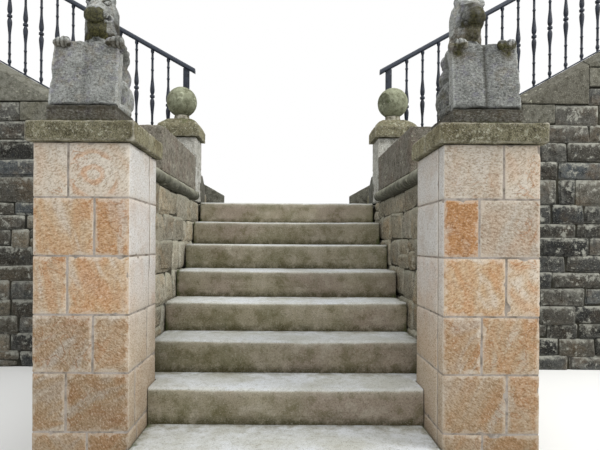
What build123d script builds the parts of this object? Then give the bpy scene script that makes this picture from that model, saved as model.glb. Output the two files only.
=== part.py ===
from build123d import *
import math
import os

# Outdoor stone stair in the form of a T. All lengths are in millimetres.
# X runs to the right, Y towards the back and Z up. The origin is on the
# ground, on the centre line, under the front edge of the landing.
# Every side piece is made on the right and mirrored for the left.

# Central flight
rise = 167
going = 287
step_count = 8
step_lap = 30
step_arris = 12
clear_width = 1400
first_step_reach = 60

# Front piers
pier_lead = 269
pier_width = 397
pier_depth = 420
pier_proud = 60
pier_cap_height = 87
pier_cap_overhang = 26
pier_cap_arris = 10

# Carved beasts on the front piers
plinth_width = 300
plinth_depth = 330
plinth_height = 80
book_width = 288
book_height = 303
book_thickness = 48
book_lean = 12
book_shift = 7
book_setback = 14
gutter_depth = 16
leaf_bow = 6
body_radius = 104
body_behind_book = 40
haunch_radius = 78
haunch_spread = 74
haunch_tilt = 12
knee_radius = 52
shoulder_radius = 88
neck_radius = 67
head_radius = 65
head_height = 450
head_inset = 58
head_forward = 30
muzzle_radius = 53
nose_radius = 45
muzzle_length = 88
muzzle_turn = 2
muzzle_droop = 26
jaw_radius = 49
chin_radius = 40
jaw_length = 62
jaw_drop = 64
ear_radius = 20
ear_spread = 46
ear_rise = 56
foreleg_radius = 33
paw_radius = 31
paw_tip_radius = 29
paw_sink = 12
paw_drop = 30
paw_spacing = 220
left_beast_shift = 22

# Cheek walls with their level course and parapet
cheek_thickness = 280
string_height = 76
string_roll = 30
parapet_height = 268
parapet_gap = 377

# Rear piers with cap and ball
rear_pier_depth = 250
rear_pier_above_coping = 88
rear_cap_height = 79
rear_cap_overhang = 28
rear_cap_slope = 80
rear_neck_radius = 62
rear_neck_height = 31
rear_neck_ledge = 6
ball_radius = 121
ball_seat = 9

# Landing
landing_depth = 900
landing_reach = 820
landing_thickness = 120

# Side flights
side_going = 300
side_step_count = 7
joint_gap = 3
upper_landing_length = 600
front_wall_thickness = 250
wall_string_thickness = 80
wall_string_lead = 176
wall_string_above_nosings = 98

# Raking coping on the front walls
coping_above_nosings = 132
coping_saddle_height = 70
coping_ridge_width = 40
coping_stone_length = 543
coping_toe_lead = 12
coping_toe_thickness = 15

# Iron railings
railing_height = 852
railing_gap = 17
handrail_width = 44
handrail_thickness = 42
handrail_arris = 8
handrail_tip = 72
foot_bar_width = 30
foot_bar_thickness = 12
newel_width = 52
newel_thickness = 12
newel_place = 20
baluster_spacing = 132
first_baluster_gap = 150
shaft_radius = 9.5
collar_radius = 12.5
vase_radius = 19
centre_collar_radius = 20
centre_collar_height = 16
vase_start = 32
vase_end = 66
vase_tip = 150
collar_height = 10
collar_slant = 3
low_collar_place = 212
high_collar_place = 305
foot_radius = 15
foot_height = 24
foot_place = 36

# Places worked out from the dimensions above
slope = rise / side_going
landing_level = rise * step_count
half_clear = clear_width / 2
cheek_outer = half_clear + cheek_thickness
top_level = landing_level + rise * side_step_count
last_riser = landing_reach + side_going * (side_step_count - 1)
coping_first_toe = landing_reach - coping_toe_lead
wall_string_start = landing_reach - wall_string_lead
side_end = last_riser + upper_landing_length
back = front_wall_thickness + landing_depth


def step_front(number):
    """Y of the front face of a step of the central flight."""
    return (number - step_count) * going


pier_front = step_front(2) - pier_lead
pier_rear = pier_front + pier_depth
pier_inner = half_clear - pier_proud
pier_centre = pier_inner + pier_width / 2
pier_middle = (pier_front + pier_rear) / 2
first_step_front = pier_front - first_step_reach

railing_plane = front_wall_thickness / 2
rear_pier_rear = railing_plane - railing_gap - rear_cap_overhang
rear_pier_front = rear_pier_rear - rear_pier_depth
rear_pier_centre = (half_clear + cheek_outer) / 2
rear_pier_middle = (rear_pier_front + rear_pier_rear) / 2
string_top = landing_level + string_height
cap_top = string_top + pier_cap_height
parapet_front = pier_rear + parapet_gap


def nosing_line(x):
    """Height of the line through the front edges of the side steps."""
    return min(landing_level + rise + (x - landing_reach) * slope, top_level)


def ridge_line(x):
    """Height of the top of the raking coping."""
    return nosing_line(x) + coping_above_nosings


def coping_edge(x):
    """Height of the coping's front and back edges, below its sloped top."""
    return ridge_line(x) - coping_saddle_height


rear_pier_top = ridge_line(cheek_outer + rear_cap_overhang) + rear_pier_above_coping


# Shapes that several pieces share


def span_box(x0, x1, y0, y1, z0, z1):
    """A block between two places along each axis."""
    return Pos((x0 + x1) / 2, (y0 + y1) / 2, (z0 + z1) / 2) * Box(x1 - x0, y1 - y0, z1 - z0)


def elevation(points, y0, y1):
    """A wall whose outline is drawn in X and Z, from one Y to another."""
    outline = Face(Wire.make_polygon([(x, y0, z) for x, z in points]))
    return Solid.extrude(outline, Vector(0, y1 - y0, 0))


def bar_along(section, stations, centre_y):
    """A bar with one upright section, led through a list of places in X and Z."""
    wires = [
        Wire.make_polygon([(x, centre_y + y, z + dz) for y, dz in section])
        for x, z in stations
    ]
    spans = [Solid.make_loft([a, b], True) for a, b in zip(wires, wires[1:])]
    return spans[0].fuse(*spans[1:]) if len(spans) > 1 else spans[0]


def tapered_block(size_x, size_y, top_x, top_y, height):
    """A block that narrows evenly from its foot to its top, foot on Z = 0."""
    foot = Wire.make_polygon(corners(size_x, size_y, 0))
    head = Wire.make_polygon(corners(top_x, top_y, height))
    return Solid.make_loft([foot, head], True)


def corners(size_x, size_y, z):
    """The four corners of a level rectangle about the Z axis."""
    a = size_x / 2
    b = size_y / 2
    return [(-a, -b, z), (a, -b, z), (a, b, z), (-a, b, z)]


def round_taper(foot_radius, top_radius, length):
    """A tapered rod with round ends, up the Z axis from the middle of its foot ball."""
    tilt = math.asin((foot_radius - top_radius) / length)
    outline = make_face([
        arc_about(0, foot_radius, -math.pi / 2, tilt),
        Line(on_arc(0, foot_radius, tilt), on_arc(length, top_radius, tilt)),
        arc_about(length, top_radius, tilt, math.pi / 2),
        Line((0, length + top_radius), (0, -foot_radius)),
    ])
    return revolve(Plane.XZ * outline, Axis.Z, 360)


def on_arc(centre_z, radius, angle):
    """A point of a circle whose middle is on the Z axis."""
    return (radius * math.cos(angle), centre_z + radius * math.sin(angle))


def arc_about(centre_z, radius, start, end):
    """An arc of a circle whose middle is on the Z axis."""
    middle = (start + end) / 2
    return ThreePointArc(
        on_arc(centre_z, radius, start), on_arc(centre_z, radius, middle), on_arc(centre_z, radius, end)
    )


def as_made(piece):
    """A piece of the right side, left as it is."""
    return piece


def mirrored(piece):
    """The left side's copy of a piece of the right side."""
    return mirror(piece, about=Plane.YZ)


def between_walls(y0, y1, z0, z1):
    """A block of the central flight: narrower where it lies between the piers."""
    pieces = []
    if y0 < pier_rear:
        pieces.append(span_box(-pier_inner, pier_inner, y0, min(y1, pier_rear), z0, z1))
    if y1 > pier_rear:
        pieces.append(span_box(-half_clear, half_clear, max(y0, pier_rear), y1, z0, z1))
    return pieces[0] + pieces[1] if len(pieces) > 1 else pieces[0]


# Central flight


def central_step(number):
    """A solid stone step that rests on the back of the step below."""
    front = first_step_front if number == 1 else step_front(number)
    rear = front_wall_thickness if number == step_count else step_front(number + 1) + step_lap
    block = between_walls(front, rear, rise * (number - 1), rise * number)
    arris = [
        edge
        for edge in block.edges()
        if abs(edge.center().Y - front) < 1e-3 and abs(edge.center().Z - rise * number) < 1e-3
    ]
    return fillet(arris, step_arris)


def rubble_core():
    """The masonry under the steps and the landing, stepped to carry them."""
    core = span_box(
        -landing_reach, landing_reach, front_wall_thickness, back,
        0, landing_level - landing_thickness,
    )
    for number in range(2, step_count + 1):
        start = step_front(number) + step_lap
        core += between_walls(start, front_wall_thickness, rise * (number - 2), rise * (number - 1))
    return core


def landing():
    """Paving stones of the landing, behind the top step."""
    return span_box(
        -landing_reach, landing_reach, front_wall_thickness, back,
        landing_level - landing_thickness, landing_level,
    )


# Front pier with its cap and beast


def front_pier():
    """Square ashlar pier at the foot of the flight."""
    return span_box(pier_inner, pier_inner + pier_width, pier_front, pier_rear, 0, string_top)


def pier_cap():
    """Plain cap stone with softened edges."""
    cap = span_box(
        pier_inner - pier_cap_overhang, pier_inner + pier_width + pier_cap_overhang,
        pier_front - pier_cap_overhang, pier_rear + pier_cap_overhang,
        string_top, cap_top,
    )
    return chamfer(cap.edges().group_by(Axis.Z)[-1], pier_cap_arris)


def open_book():
    """An open book with its front face on Y = 0 and its foot on Z = 0."""
    half = book_width / 2
    outline = make_face([
        Line((-half, book_thickness), (-half, leaf_bow)),
        ThreePointArc((-half, leaf_bow), (-half / 2, 0), (0, gutter_depth)),
        ThreePointArc((0, gutter_depth), (half / 2, 0), (half, leaf_bow)),
        Line((half, leaf_bow), (half, book_thickness)),
        Line((half, book_thickness), (-half, book_thickness)),
    ])
    return extrude(outline, book_height)


def beast_forms(outward):
    """The forms of a beast that sits behind an open book, on a plinth, set outward on its cap."""
    book_foot_y = -plinth_depth / 2 + book_setback
    lean = math.radians(book_lean)
    book_top_y = book_foot_y + math.sin(lean) * book_height
    book_top_z = plinth_height + math.cos(lean) * book_height
    body_y = book_foot_y + book_thickness + body_radius + body_behind_book
    neck_x = head_radius + head_inset - plinth_width / 2
    body_x = neck_x / 2
    head_y = body_y - head_forward
    shoulder = head_height - head_radius
    head_place = Pos(neck_x, head_y, plinth_height + head_height) * Rot(0, 0, muzzle_turn)

    forms = [
        Pos(0, 0, plinth_height / 2) * Box(plinth_width, plinth_depth, plinth_height),
        Pos(book_shift, book_foot_y, plinth_height) * Rot(-book_lean, 0, 0) * open_book(),
        Pos(body_x, body_y, plinth_height + haunch_radius)
        * round_taper(body_radius, shoulder_radius, shoulder - haunch_radius - shoulder_radius),
        Pos(neck_x, head_y + head_forward / 2, plinth_height + shoulder - shoulder_radius)
        * round_taper(shoulder_radius, neck_radius, shoulder_radius),
        head_place * Sphere(head_radius),
        head_place * Rot(90 + muzzle_droop, 0, 0) * round_taper(muzzle_radius, nose_radius, muzzle_length),
        head_place * Pos(0, 0, -jaw_drop) * Rot(90 + muzzle_droop, 0, 0)
        * round_taper(jaw_radius, chin_radius, jaw_length),
    ]
    for side in (-1, 1):
        haunch_place = Pos(body_x + side * haunch_spread, body_y - haunch_radius / 2, plinth_height + haunch_radius)
        forms.append(haunch_place * Rot(-haunch_tilt, 0, 0) * round_taper(haunch_radius, knee_radius, haunch_radius))
        ear = Pos(side * ear_spread, ear_radius, ear_rise) * Sphere(ear_radius)
        forms.append(head_place * ear)

    # Forelegs reach over the top edge of the book and end in paws
    leg_length = body_y - book_top_y
    leg_z = book_top_z - paw_sink
    for side in (-1, 1):
        leg_place = Pos(side * paw_spacing / 2, body_y, leg_z) * Rot(90, 0, 0)
        forms.append(leg_place * round_taper(foreleg_radius, paw_radius, leg_length))
        paw_place = Pos(side * paw_spacing / 2, book_top_y, leg_z - paw_drop)
        forms.append(paw_place * Rot(-book_lean, 0, 0) * round_taper(paw_radius, paw_tip_radius, paw_drop))
    return [Pos(pier_centre + outward, pier_middle, cap_top) * form for form in forms]


def beast(turned, outward):
    """A beast with its book and plinth, all one carved block."""
    forms = [turned(form) for form in beast_forms(outward)]
    carving = forms[0]
    for form in forms[1:]:
        carving += form
    return carving


# Cheek wall, its level course and the parapet


def cheek_wall():
    """Rubble wall beside the central flight, up to the landing's level."""
    return span_box(half_clear, cheek_outer, pier_rear, 0, 0, landing_level)


def string_course():
    """Level course on the cheek wall, with a roll along the flight."""
    roll_radius = string_height / 2
    outline = Pos((half_clear + cheek_outer) / 2, 0) * Rectangle(cheek_thickness, string_height)
    outline += Pos(half_clear + roll_radius - string_roll, 0) * Circle(roll_radius)
    course = extrude(Plane.XZ * outline, -(rear_pier_front - pier_rear))
    return Pos(0, pier_rear, landing_level + roll_radius) * course


def parapet():
    """Upstand on the level course, from the rear pier forwards."""
    return span_box(
        half_clear, cheek_outer, parapet_front, rear_pier_front,
        string_top, string_top + parapet_height,
    )


# Rear pier with its cap and ball


def rear_pier():
    """Small pier at the corner of the landing."""
    return span_box(
        half_clear, cheek_outer, rear_pier_front, rear_pier_rear, landing_level, rear_pier_top
    )


def rear_cap():
    """Weathered cap: a slab, a slope and the round neck that seats the ball."""
    size_x = cheek_thickness + 2 * rear_cap_overhang
    size_y = rear_pier_depth + 2 * rear_cap_overhang
    neck_size = 2 * (rear_neck_radius + rear_neck_ledge)
    cap = Pos(0, 0, rear_cap_height / 2) * Box(size_x, size_y, rear_cap_height)
    cap += Pos(0, 0, rear_cap_height) * tapered_block(
        size_x, size_y, neck_size, neck_size, rear_cap_slope
    )
    neck_foot = rear_cap_height + rear_cap_slope
    cap += Pos(0, 0, neck_foot + rear_neck_height / 2) * Cylinder(rear_neck_radius, rear_neck_height)
    return Pos(rear_pier_centre, rear_pier_middle, rear_pier_top) * cap


def ball():
    """Stone ball, cut level where it sits on the neck of the cap."""
    seat = rear_pier_top + rear_cap_height + rear_cap_slope + rear_neck_height
    whole = Pos(0, 0, ball_radius - ball_seat) * Sphere(ball_radius)
    above = Pos(0, 0, ball_radius) * Box(4 * ball_radius, 4 * ball_radius, 2 * ball_radius)
    return Pos(rear_pier_centre, rear_pier_middle, seat) * (whole & above)


# Side flight


def coping_beds():
    """Outline of the coping's underside: level beds that step up the rake."""
    toe = coping_first_toe
    bed = landing_level
    points = [(half_clear, bed)]
    while toe < last_riser:
        points.append((toe, bed))
        bed = coping_edge(toe) - coping_toe_thickness
        points.append((toe, bed))
        toe += coping_stone_length
    points.append((side_end, bed))
    return points


def pier_space():
    """The block of space that the rear pier takes up."""
    return span_box(
        half_clear, cheek_outer, rear_pier_front, rear_pier_rear, landing_level, rear_pier_top
    )


def front_wall():
    """Rubble wall under the side flight, facing the front."""
    outline = [(half_clear, 0)] + coping_beds() + [(side_end, 0)]
    return elevation(outline, 0, front_wall_thickness) - pier_space()


def raking_coping():
    """Saddle-backed coping: level beds below, a ridge that carries the railing."""
    edge = [(x, coping_edge(x)) for x in (side_end, last_riser, half_clear)]
    lower = elevation(coping_beds() + edge, 0, front_wall_thickness)
    half = front_wall_thickness / 2
    crest = coping_ridge_width / 2
    section = [
        (-half, 0),
        (half, 0),
        (crest, coping_saddle_height),
        (-crest, coping_saddle_height),
    ]
    stations = [(x, coping_edge(x)) for x in (half_clear, last_riser, side_end)]
    return lower + bar_along(section, stations, half) - pier_space()


def side_core():
    """The masonry under the side flight, stepped to carry its stones."""
    string_front = back - wall_string_thickness
    core = span_box(landing_reach, side_end, front_wall_thickness, back, 0, landing_level)
    for number in range(2, side_step_count + 1):
        start = landing_reach + side_going * (number - 1)
        foot = landing_level + rise * (number - 2)
        core += span_box(start, side_end, front_wall_thickness, string_front, foot, foot + rise)
    return core


def side_steps():
    """The stones of the side flight, with an open joint behind each."""
    string_front = back - wall_string_thickness
    stones = []
    for number in range(1, side_step_count):
        start = landing_reach + side_going * (number - 1)
        foot = landing_level + rise * (number - 1)
        stone = span_box(
            start, start + side_going - joint_gap, front_wall_thickness, string_front,
            foot, foot + rise,
        )
        arris = stone.edges().filter_by(Axis.Y).sort_by(SortBy.DISTANCE)
        front_top = [
            edge
            for edge in arris
            if abs(edge.center().X - start) < 1e-3 and abs(edge.center().Z - foot - rise) < 1e-3
        ]
        stones.append(fillet(front_top, step_arris))
    return Compound(children=[stone.solid() for stone in stones])


def upper_landing():
    """The top stone of the side flight."""
    string_front = back - wall_string_thickness
    return span_box(
        last_riser, side_end, front_wall_thickness, string_front, top_level - rise, top_level
    )


def wall_string():
    """Raking string along the back edge, standing on the landing's level."""
    def top(x):
        return nosing_line(x) + wall_string_above_nosings

    outline = [
        (wall_string_start, landing_level),
        (side_end, landing_level),
        (side_end, top(side_end)),
        (last_riser, top(last_riser)),
        (wall_string_start, top(wall_string_start)),
    ]
    return elevation(outline, back - wall_string_thickness, back)


# Railing


def ring(radius, place, height):
    """Profile points of a ring round the shaft of a baluster."""
    half = height / 2
    return [
        (shaft_radius, place - half - collar_slant),
        (radius, place - half),
        (radius, place + half),
        (shaft_radius, place + half + collar_slant),
    ]


def baluster(length):
    """A cast baluster about the Z axis, the same above and below its middle."""
    collar_half = centre_collar_height / 2
    half = [
        (centre_collar_radius, collar_half),
        (shaft_radius, collar_half),
        (vase_radius, vase_start),
        (vase_radius, vase_end),
        (shaft_radius, vase_tip),
    ]
    half += ring(collar_radius, low_collar_place, collar_height)
    half += ring(collar_radius, high_collar_place, collar_height)
    half += ring(foot_radius, length / 2 - foot_place, foot_height)
    half.append((shaft_radius, length / 2))
    lower = [(radius, -z) for radius, z in reversed(half)]
    outline = [(0, -length / 2)] + lower + half + [(0, length / 2)]
    face = Face(Wire.make_polygon([(radius, 0, z) for radius, z in outline]))
    return revolve(face, Axis.Z, 360)


def railing():
    """Handrail, foot bar, newel bars and balusters, cast and forged into one."""
    newel_x = landing_reach + newel_place
    end_newel_x = side_end - newel_width
    y = railing_plane
    rail_under = railing_height - handrail_thickness
    half = handrail_width / 2
    rail_section = [
        (-half, rail_under),
        (half, rail_under),
        (half, railing_height - handrail_arris),
        (half - handrail_arris, railing_height),
        (-half + handrail_arris, railing_height),
        (-half, railing_height - handrail_arris),
    ]
    bar_half = foot_bar_width / 2
    bar_section = [
        (-bar_half, 0),
        (bar_half, 0),
        (bar_half, foot_bar_thickness),
        (-bar_half, foot_bar_thickness),
    ]
    rail_run = [(x, ridge_line(x)) for x in (newel_x - handrail_tip, last_riser, side_end)]
    bar_run = [(x, ridge_line(x)) for x in (newel_x - newel_width, last_riser, side_end)]
    pieces = [bar_along(bar_section, bar_run, y)]
    bury = foot_bar_thickness / 2
    length = rail_under + bury
    for x in baluster_places(newel_x, end_newel_x):
        foot = ridge_line(x) + bury
        middle = foot + length / 2
        pieces.append(Pos(x, y, middle) * baluster(length))
    for x in (newel_x, end_newel_x):
        foot = ridge_line(x - newel_width / 2) + bury
        head = ridge_line(x - newel_width / 2) + rail_under + handrail_thickness / 2
        pieces.append(span_box(
            x - newel_width / 2, x + newel_width / 2,
            y - newel_thickness / 2, y + newel_thickness / 2,
            foot + newel_width * slope, head,
        ))
    rail = bar_along(rail_section, rail_run, y)
    return rail.fuse(*[piece.solid() for piece in pieces])


def baluster_places(first, last):
    """X of each baluster between the two newel bars."""
    run = last - first - newel_width - first_baluster_gap
    count = int(run / baluster_spacing) + 1
    return [first + first_baluster_gap + baluster_spacing * number for number in range(count)]


# Write one file for each piece

os.makedirs("parts", exist_ok=True)

middle_pieces = {"rubble_core": rubble_core(), "landing": landing()}
for number in range(1, step_count + 1):
    middle_pieces[f"step_{number}"] = central_step(number)

side_makers = [
    front_pier,
    pier_cap,
    cheek_wall,
    string_course,
    parapet,
    rear_pier,
    rear_cap,
    ball,
    front_wall,
    raking_coping,
    side_core,
    side_steps,
    upper_landing,
    wall_string,
    railing,
]

for name, piece in middle_pieces.items():
    export_step(piece, f"parts/{name}.step")
for maker in side_makers:
    right_piece = maker()
    export_step(right_piece, f"parts/right_{maker.__name__}.step")
    export_step(mirrored(right_piece), f"parts/left_{maker.__name__}.step")
export_step(beast(as_made, 0), "parts/right_beast.step")
export_step(beast(mirrored, left_beast_shift), "parts/left_beast.step")
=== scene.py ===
import math
import random

import bmesh
import bpy
from mathutils import Matrix, Vector, noise


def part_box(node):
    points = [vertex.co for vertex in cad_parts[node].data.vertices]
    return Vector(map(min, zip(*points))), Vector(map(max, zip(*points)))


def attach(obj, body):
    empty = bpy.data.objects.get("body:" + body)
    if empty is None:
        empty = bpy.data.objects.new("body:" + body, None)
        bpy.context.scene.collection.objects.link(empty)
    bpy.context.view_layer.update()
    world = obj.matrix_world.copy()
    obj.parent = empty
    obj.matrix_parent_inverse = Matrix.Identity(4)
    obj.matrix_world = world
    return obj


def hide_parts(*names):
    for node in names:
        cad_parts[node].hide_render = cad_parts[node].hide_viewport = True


# An outdoor stone stair with two carved beasts and iron railings, in metres.
# X runs to the right, Y to the back and Z up. Each side piece is made on the
# right, and the left one is mirrored with stones of its own.

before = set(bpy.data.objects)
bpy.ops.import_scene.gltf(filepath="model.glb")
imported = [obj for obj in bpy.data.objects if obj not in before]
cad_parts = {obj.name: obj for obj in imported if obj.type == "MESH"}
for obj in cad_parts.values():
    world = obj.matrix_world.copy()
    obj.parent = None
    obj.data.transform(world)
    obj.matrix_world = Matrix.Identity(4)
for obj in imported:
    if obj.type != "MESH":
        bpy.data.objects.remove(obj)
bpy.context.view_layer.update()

# The vector noise that wears the stones takes its offsets from this seed, so that
# each run gives the same stones
noise.seed_set(1)

scene = bpy.context.scene
up = Vector((0, 0, 1))
sides = ("right", "left")

# Sizes of the stair
rise = 0.167
going = 0.287
step_count = 8
step_lap = 0.030
half_clear = 0.700
cheek_outer = 0.980
side_going = 0.300
side_step_count = 7
landing_reach = 0.820
coping_stone_length = 0.543
coping_toe_lead = 0.012
coping_toe_thickness = 0.015
coping_above_nosings = 0.132
coping_saddle_height = 0.070
coping_ridge_width = 0.040
string_above_nosings = 0.098
toe_block_length = 0.270
toe_block_height = 0.161
joint = 0.004
clearance = 0.002
rubble_mortar_inset = 0.028
hidden_spacing = 0.3

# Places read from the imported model
pier_low, pier_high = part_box("right_front_pier")
cap_low, cap_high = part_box("right_pier_cap")
cheek_low, cheek_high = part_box("right_cheek_wall")
parapet_low, parapet_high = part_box("right_parapet")
course_low, course_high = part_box("right_string_course")
rear_low, rear_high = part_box("right_rear_pier")
rear_cap_low, rear_cap_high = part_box("right_rear_cap")
ball_low, ball_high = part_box("right_ball")
wall_low, wall_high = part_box("right_front_wall")
_, core_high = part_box("right_side_core")
string_low, string_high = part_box("right_wall_string")
top_low, top_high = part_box("right_upper_landing")
landing_low, landing_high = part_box("landing")
landing_level = rise * step_count
slope = rise / side_going
last_riser = top_low.x
side_end = top_high.x
back = landing_high.y
string_front = top_high.y


def nosing_line(x):
    """Height of the line through the front edges of the side steps."""
    return min(landing_level + rise + (x - landing_reach) * slope, top_high.z)


def ridge_line(x):
    """Height of the ridge of the raking coping."""
    return nosing_line(x) + coping_above_nosings


def coping_edge(x):
    """Height of the front edge of the raking coping."""
    return ridge_line(x) - coping_saddle_height


def new_object(name, data):
    """A new object in the scene."""
    made = bpy.data.objects.new(name, data)
    scene.collection.objects.link(made)
    return made


# Camera at the photograph's place
image_width = 600
image_height = 450
focal_pixels = 500
middle_column = 286.5
horizon_row = 245
camera_roll = 0.33
eye = Vector((0, -4.029, 0.997))

camera_data = bpy.data.cameras.new("camera")
camera_data.sensor_width = 36
camera_data.lens = camera_data.sensor_width * focal_pixels / image_width
camera_data.shift_x = (image_width / 2 - middle_column) / image_width
camera_data.shift_y = (horizon_row - image_height / 2) / image_width
camera_data.clip_start = 0.05
camera_data.clip_end = 200
camera = new_object("camera", camera_data)
camera.matrix_world = (
    Matrix.Translation(eye)
    @ Matrix.Rotation(math.radians(90), 4, "X")
    @ Matrix.Rotation(math.radians(camera_roll), 4, "Z")
)
scene.camera = camera
scene.view_settings.view_transform = "Standard"


# Building node trees


def clamp(value, low=0.0, high=1.0):
    """A value held between two limits."""
    return min(max(value, low), high)


def shade(red, green, blue):
    """A colour given as it looks on a screen, 0 to 255, made linear."""
    return tuple((value / 255) ** 2.2 for value in (red, green, blue)) + (1.0,)


class Recipe:
    """Adds nodes to one node tree and joins them."""

    def __init__(self, tree, place=None):
        self.tree = tree
        self.place = place

    def node(self, kind, inputs=None, **settings):
        made = self.tree.nodes.new("ShaderNode" + kind)
        for name, value in settings.items():
            setattr(made, name, value)
        for name, value in (inputs or {}).items():
            if isinstance(value, bpy.types.NodeSocket):
                self.tree.links.new(value, made.inputs[name])
            else:
                made.inputs[name].default_value = value
        return made

    def group(self, tree, **inputs):
        """The outputs of a node group, which starts from the recipe's own place."""
        if inputs:
            inputs["Place"] = self.place
        return self.node("Group", inputs, node_tree=tree).outputs

    def noise(self, scale, detail=4.0, roughness=0.55, distortion=0.0, place=None):
        inputs = {"Vector": self.place if place is None else place, "Scale": scale, "Detail": detail}
        inputs["Roughness"] = roughness
        inputs["Distortion"] = distortion
        return self.node("TexNoise", inputs).outputs[0]

    def drawn_noise(self, scale, detail, roughness, distortion=0.0, turn=(0.0, 0.0, 0.0), place=None):
        """Noise with a scale of its own along each axis."""
        inputs = {"Vector": self.place if place is None else place, "Scale": scale, "Rotation": turn}
        return self.noise(1.0, detail, roughness, distortion, self.node("Mapping", inputs).outputs[0])

    def span(self, value, low, high, out_low=0.0, out_high=1.0):
        inputs = {"Value": value, "From Min": low, "From Max": high}
        inputs["To Min"] = out_low
        inputs["To Max"] = out_high
        return self.node("MapRange", inputs, interpolation_type="SMOOTHSTEP").outputs[0]

    def calc(self, operation, first, second=0.0):
        return self.node("Math", {0: first, 1: second}, operation=operation).outputs[0]

    def times(self, first, second):
        return self.calc("MULTIPLY", first, second)

    def plus(self, first, second):
        return self.calc("ADD", first, second)

    def less(self, first, second):
        return self.calc("SUBTRACT", first, second)

    def facing(self, axis):
        """How far the surface faces along an axis."""
        normal = self.node("NewGeometry").outputs["Normal"]
        return self.node("SeparateXYZ", {0: normal}).outputs[axis]

    def mix(self, share, first, second, kind="MIX"):
        inputs = {0: share, 6: first, 7: second}
        return self.node("Mix", inputs, data_type="RGBA", blend_type=kind).outputs[2]

    def cover(self, colour, field, low, high, share, other):
        """Lays another colour over a colour, as far as a field has gone from low to high."""
        return self.mix(self.span(field, low, high, 0.0, share), colour, other)

    def film(self, colour, mask, share, other):
        """Lays another colour over a colour, as strongly as a mask's share."""
        return self.mix(self.times(mask, share), colour, other)

    def tint(self, colour, other):
        return self.mix(1.0, colour, other, "MULTIPLY")

    def brighten(self, colour, gain):
        return self.tint(colour, self.node("CombineColor", {0: gain, 1: gain, 2: gain}).outputs[0])


def make_group(name, labels, fill, **amounts):
    """A node group that takes a place and amounts, if any, and puts out what its function returns."""
    tree = bpy.data.node_groups.new(name, "ShaderNodeTree")
    if amounts:
        tree.interface.new_socket("Place", in_out="INPUT", socket_type="NodeSocketVector")
    for label, value in amounts.items():
        socket = tree.interface.new_socket(label, in_out="INPUT", socket_type="NodeSocketFloat")
        socket.default_value = value
    for label in labels:
        kind = "NodeSocketColor" if label == "Colour" else "NodeSocketFloat"
        tree.interface.new_socket(label, in_out="OUTPUT", socket_type=kind)
    source = tree.nodes.new("NodeGroupInput").outputs
    result = tree.nodes.new("NodeGroupOutput").inputs
    recipe = Recipe(tree, source["Place"] if amounts else None)
    made = fill(recipe, *[source[label] for label in amounts])
    for label, value in zip(labels, made):
        tree.links.new(value, result[label])
    return tree


# Effects that several finishes share


def grain_nodes(recipe, size, pits):
    """Tooled and weathered grain: fine height, and small dark pits."""
    broad = recipe.noise(size, 6.0, 0.62)
    fine = recipe.noise(recipe.times(size, 3.7), 3.0, 0.6)
    inputs = {"Vector": recipe.place, "Scale": recipe.times(size, 1.6)}
    cells = recipe.node("TexVoronoi", inputs).outputs["Distance"]
    pit = recipe.span(cells, 0.05, 0.30, 1.0, 0.0)
    pit = recipe.times(pit, recipe.span(broad, 0.45, 0.62))
    pit = recipe.times(pit, pits)
    height = recipe.plus(broad, recipe.times(fine, 0.45))
    return recipe.less(height, recipe.times(pit, 0.6)), pit


def lichen_nodes(recipe, size, amount):
    """Ragged crusts of lichen, in patches."""
    crusts = recipe.noise(recipe.times(size, 0.42), 6.0, 0.70, 0.15)
    patches = recipe.noise(7.0, 4.0, 0.6)
    start = recipe.less(0.80, recipe.times(amount, 0.45))
    where = recipe.span(patches, start, recipe.plus(start, 0.10))
    return [recipe.times(recipe.span(crusts, 0.54, 0.62), where)]


def moss_nodes(recipe, amount, upward):
    """Moss that settles on upward faces and in damp patches, with its colour."""
    facing = recipe.times(recipe.span(recipe.facing(2), 0.0, 0.9), upward)
    level = recipe.plus(recipe.noise(9.0, 6.0, 0.68), recipe.times(facing, 0.25))
    start = recipe.less(0.85, recipe.times(amount, 0.5))
    tufts = recipe.span(recipe.noise(160.0, 3.0, 0.7), 0.35, 0.7)
    colour = recipe.mix(tufts, shade(58, 64, 38), shade(98, 104, 66))
    return recipe.span(level, start, recipe.plus(start, 0.16)), colour


def streak_nodes(recipe, amount):
    """Soot and water stains that run down an upright face."""
    lines = recipe.drawn_noise((22.0, 22.0, 2.2), 5.0, 0.6)
    clouds = recipe.noise(4.0, 3.0, 0.5)
    both = recipe.plus(recipe.times(lines, 0.6), recipe.times(clouds, 0.4))
    start = recipe.less(0.70, recipe.times(amount, 0.35))
    return [recipe.span(both, start, recipe.plus(start, 0.18))]


def wear_nodes(recipe, amount):
    """Rubbed edges, from the shape's own sharpness."""
    sharpness = recipe.node("NewGeometry").outputs["Pointiness"]
    start = recipe.less(0.56, recipe.times(amount, 0.05))
    edges = recipe.span(sharpness, start, recipe.plus(start, 0.06))
    return [recipe.times(edges, recipe.span(recipe.noise(30.0, 4.0, 0.6), 0.35, 0.6))]


def tone_nodes(recipe):
    """The lightness, hue, margin and damp that each stone's points carry."""
    carried = recipe.node("Attribute", attribute_name="tone").outputs
    parts = recipe.node("SeparateColor", {0: carried["Color"]}).outputs
    return parts[0], parts[1], parts[2], carried["Alpha"]


grain_group = make_group("stone_grain", ["Height", "Pit"], grain_nodes, Size=60.0, Pits=0.5)
lichen_group = make_group("lichen_crust", ["Mask"], lichen_nodes, Size=60.0, Amount=0.5)
moss_group = make_group("moss_growth", ["Mask", "Colour"], moss_nodes, Amount=0.5, Upward=0.5)
streak_group = make_group("water_streaks", ["Mask"], streak_nodes, Amount=0.5)
wear_group = make_group("edge_wear", ["Mask"], wear_nodes, Amount=0.5)
tone_group = make_group("stone_tones", ["Light", "Hue", "Margin", "Damp"], tone_nodes)


# Finishes


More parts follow.
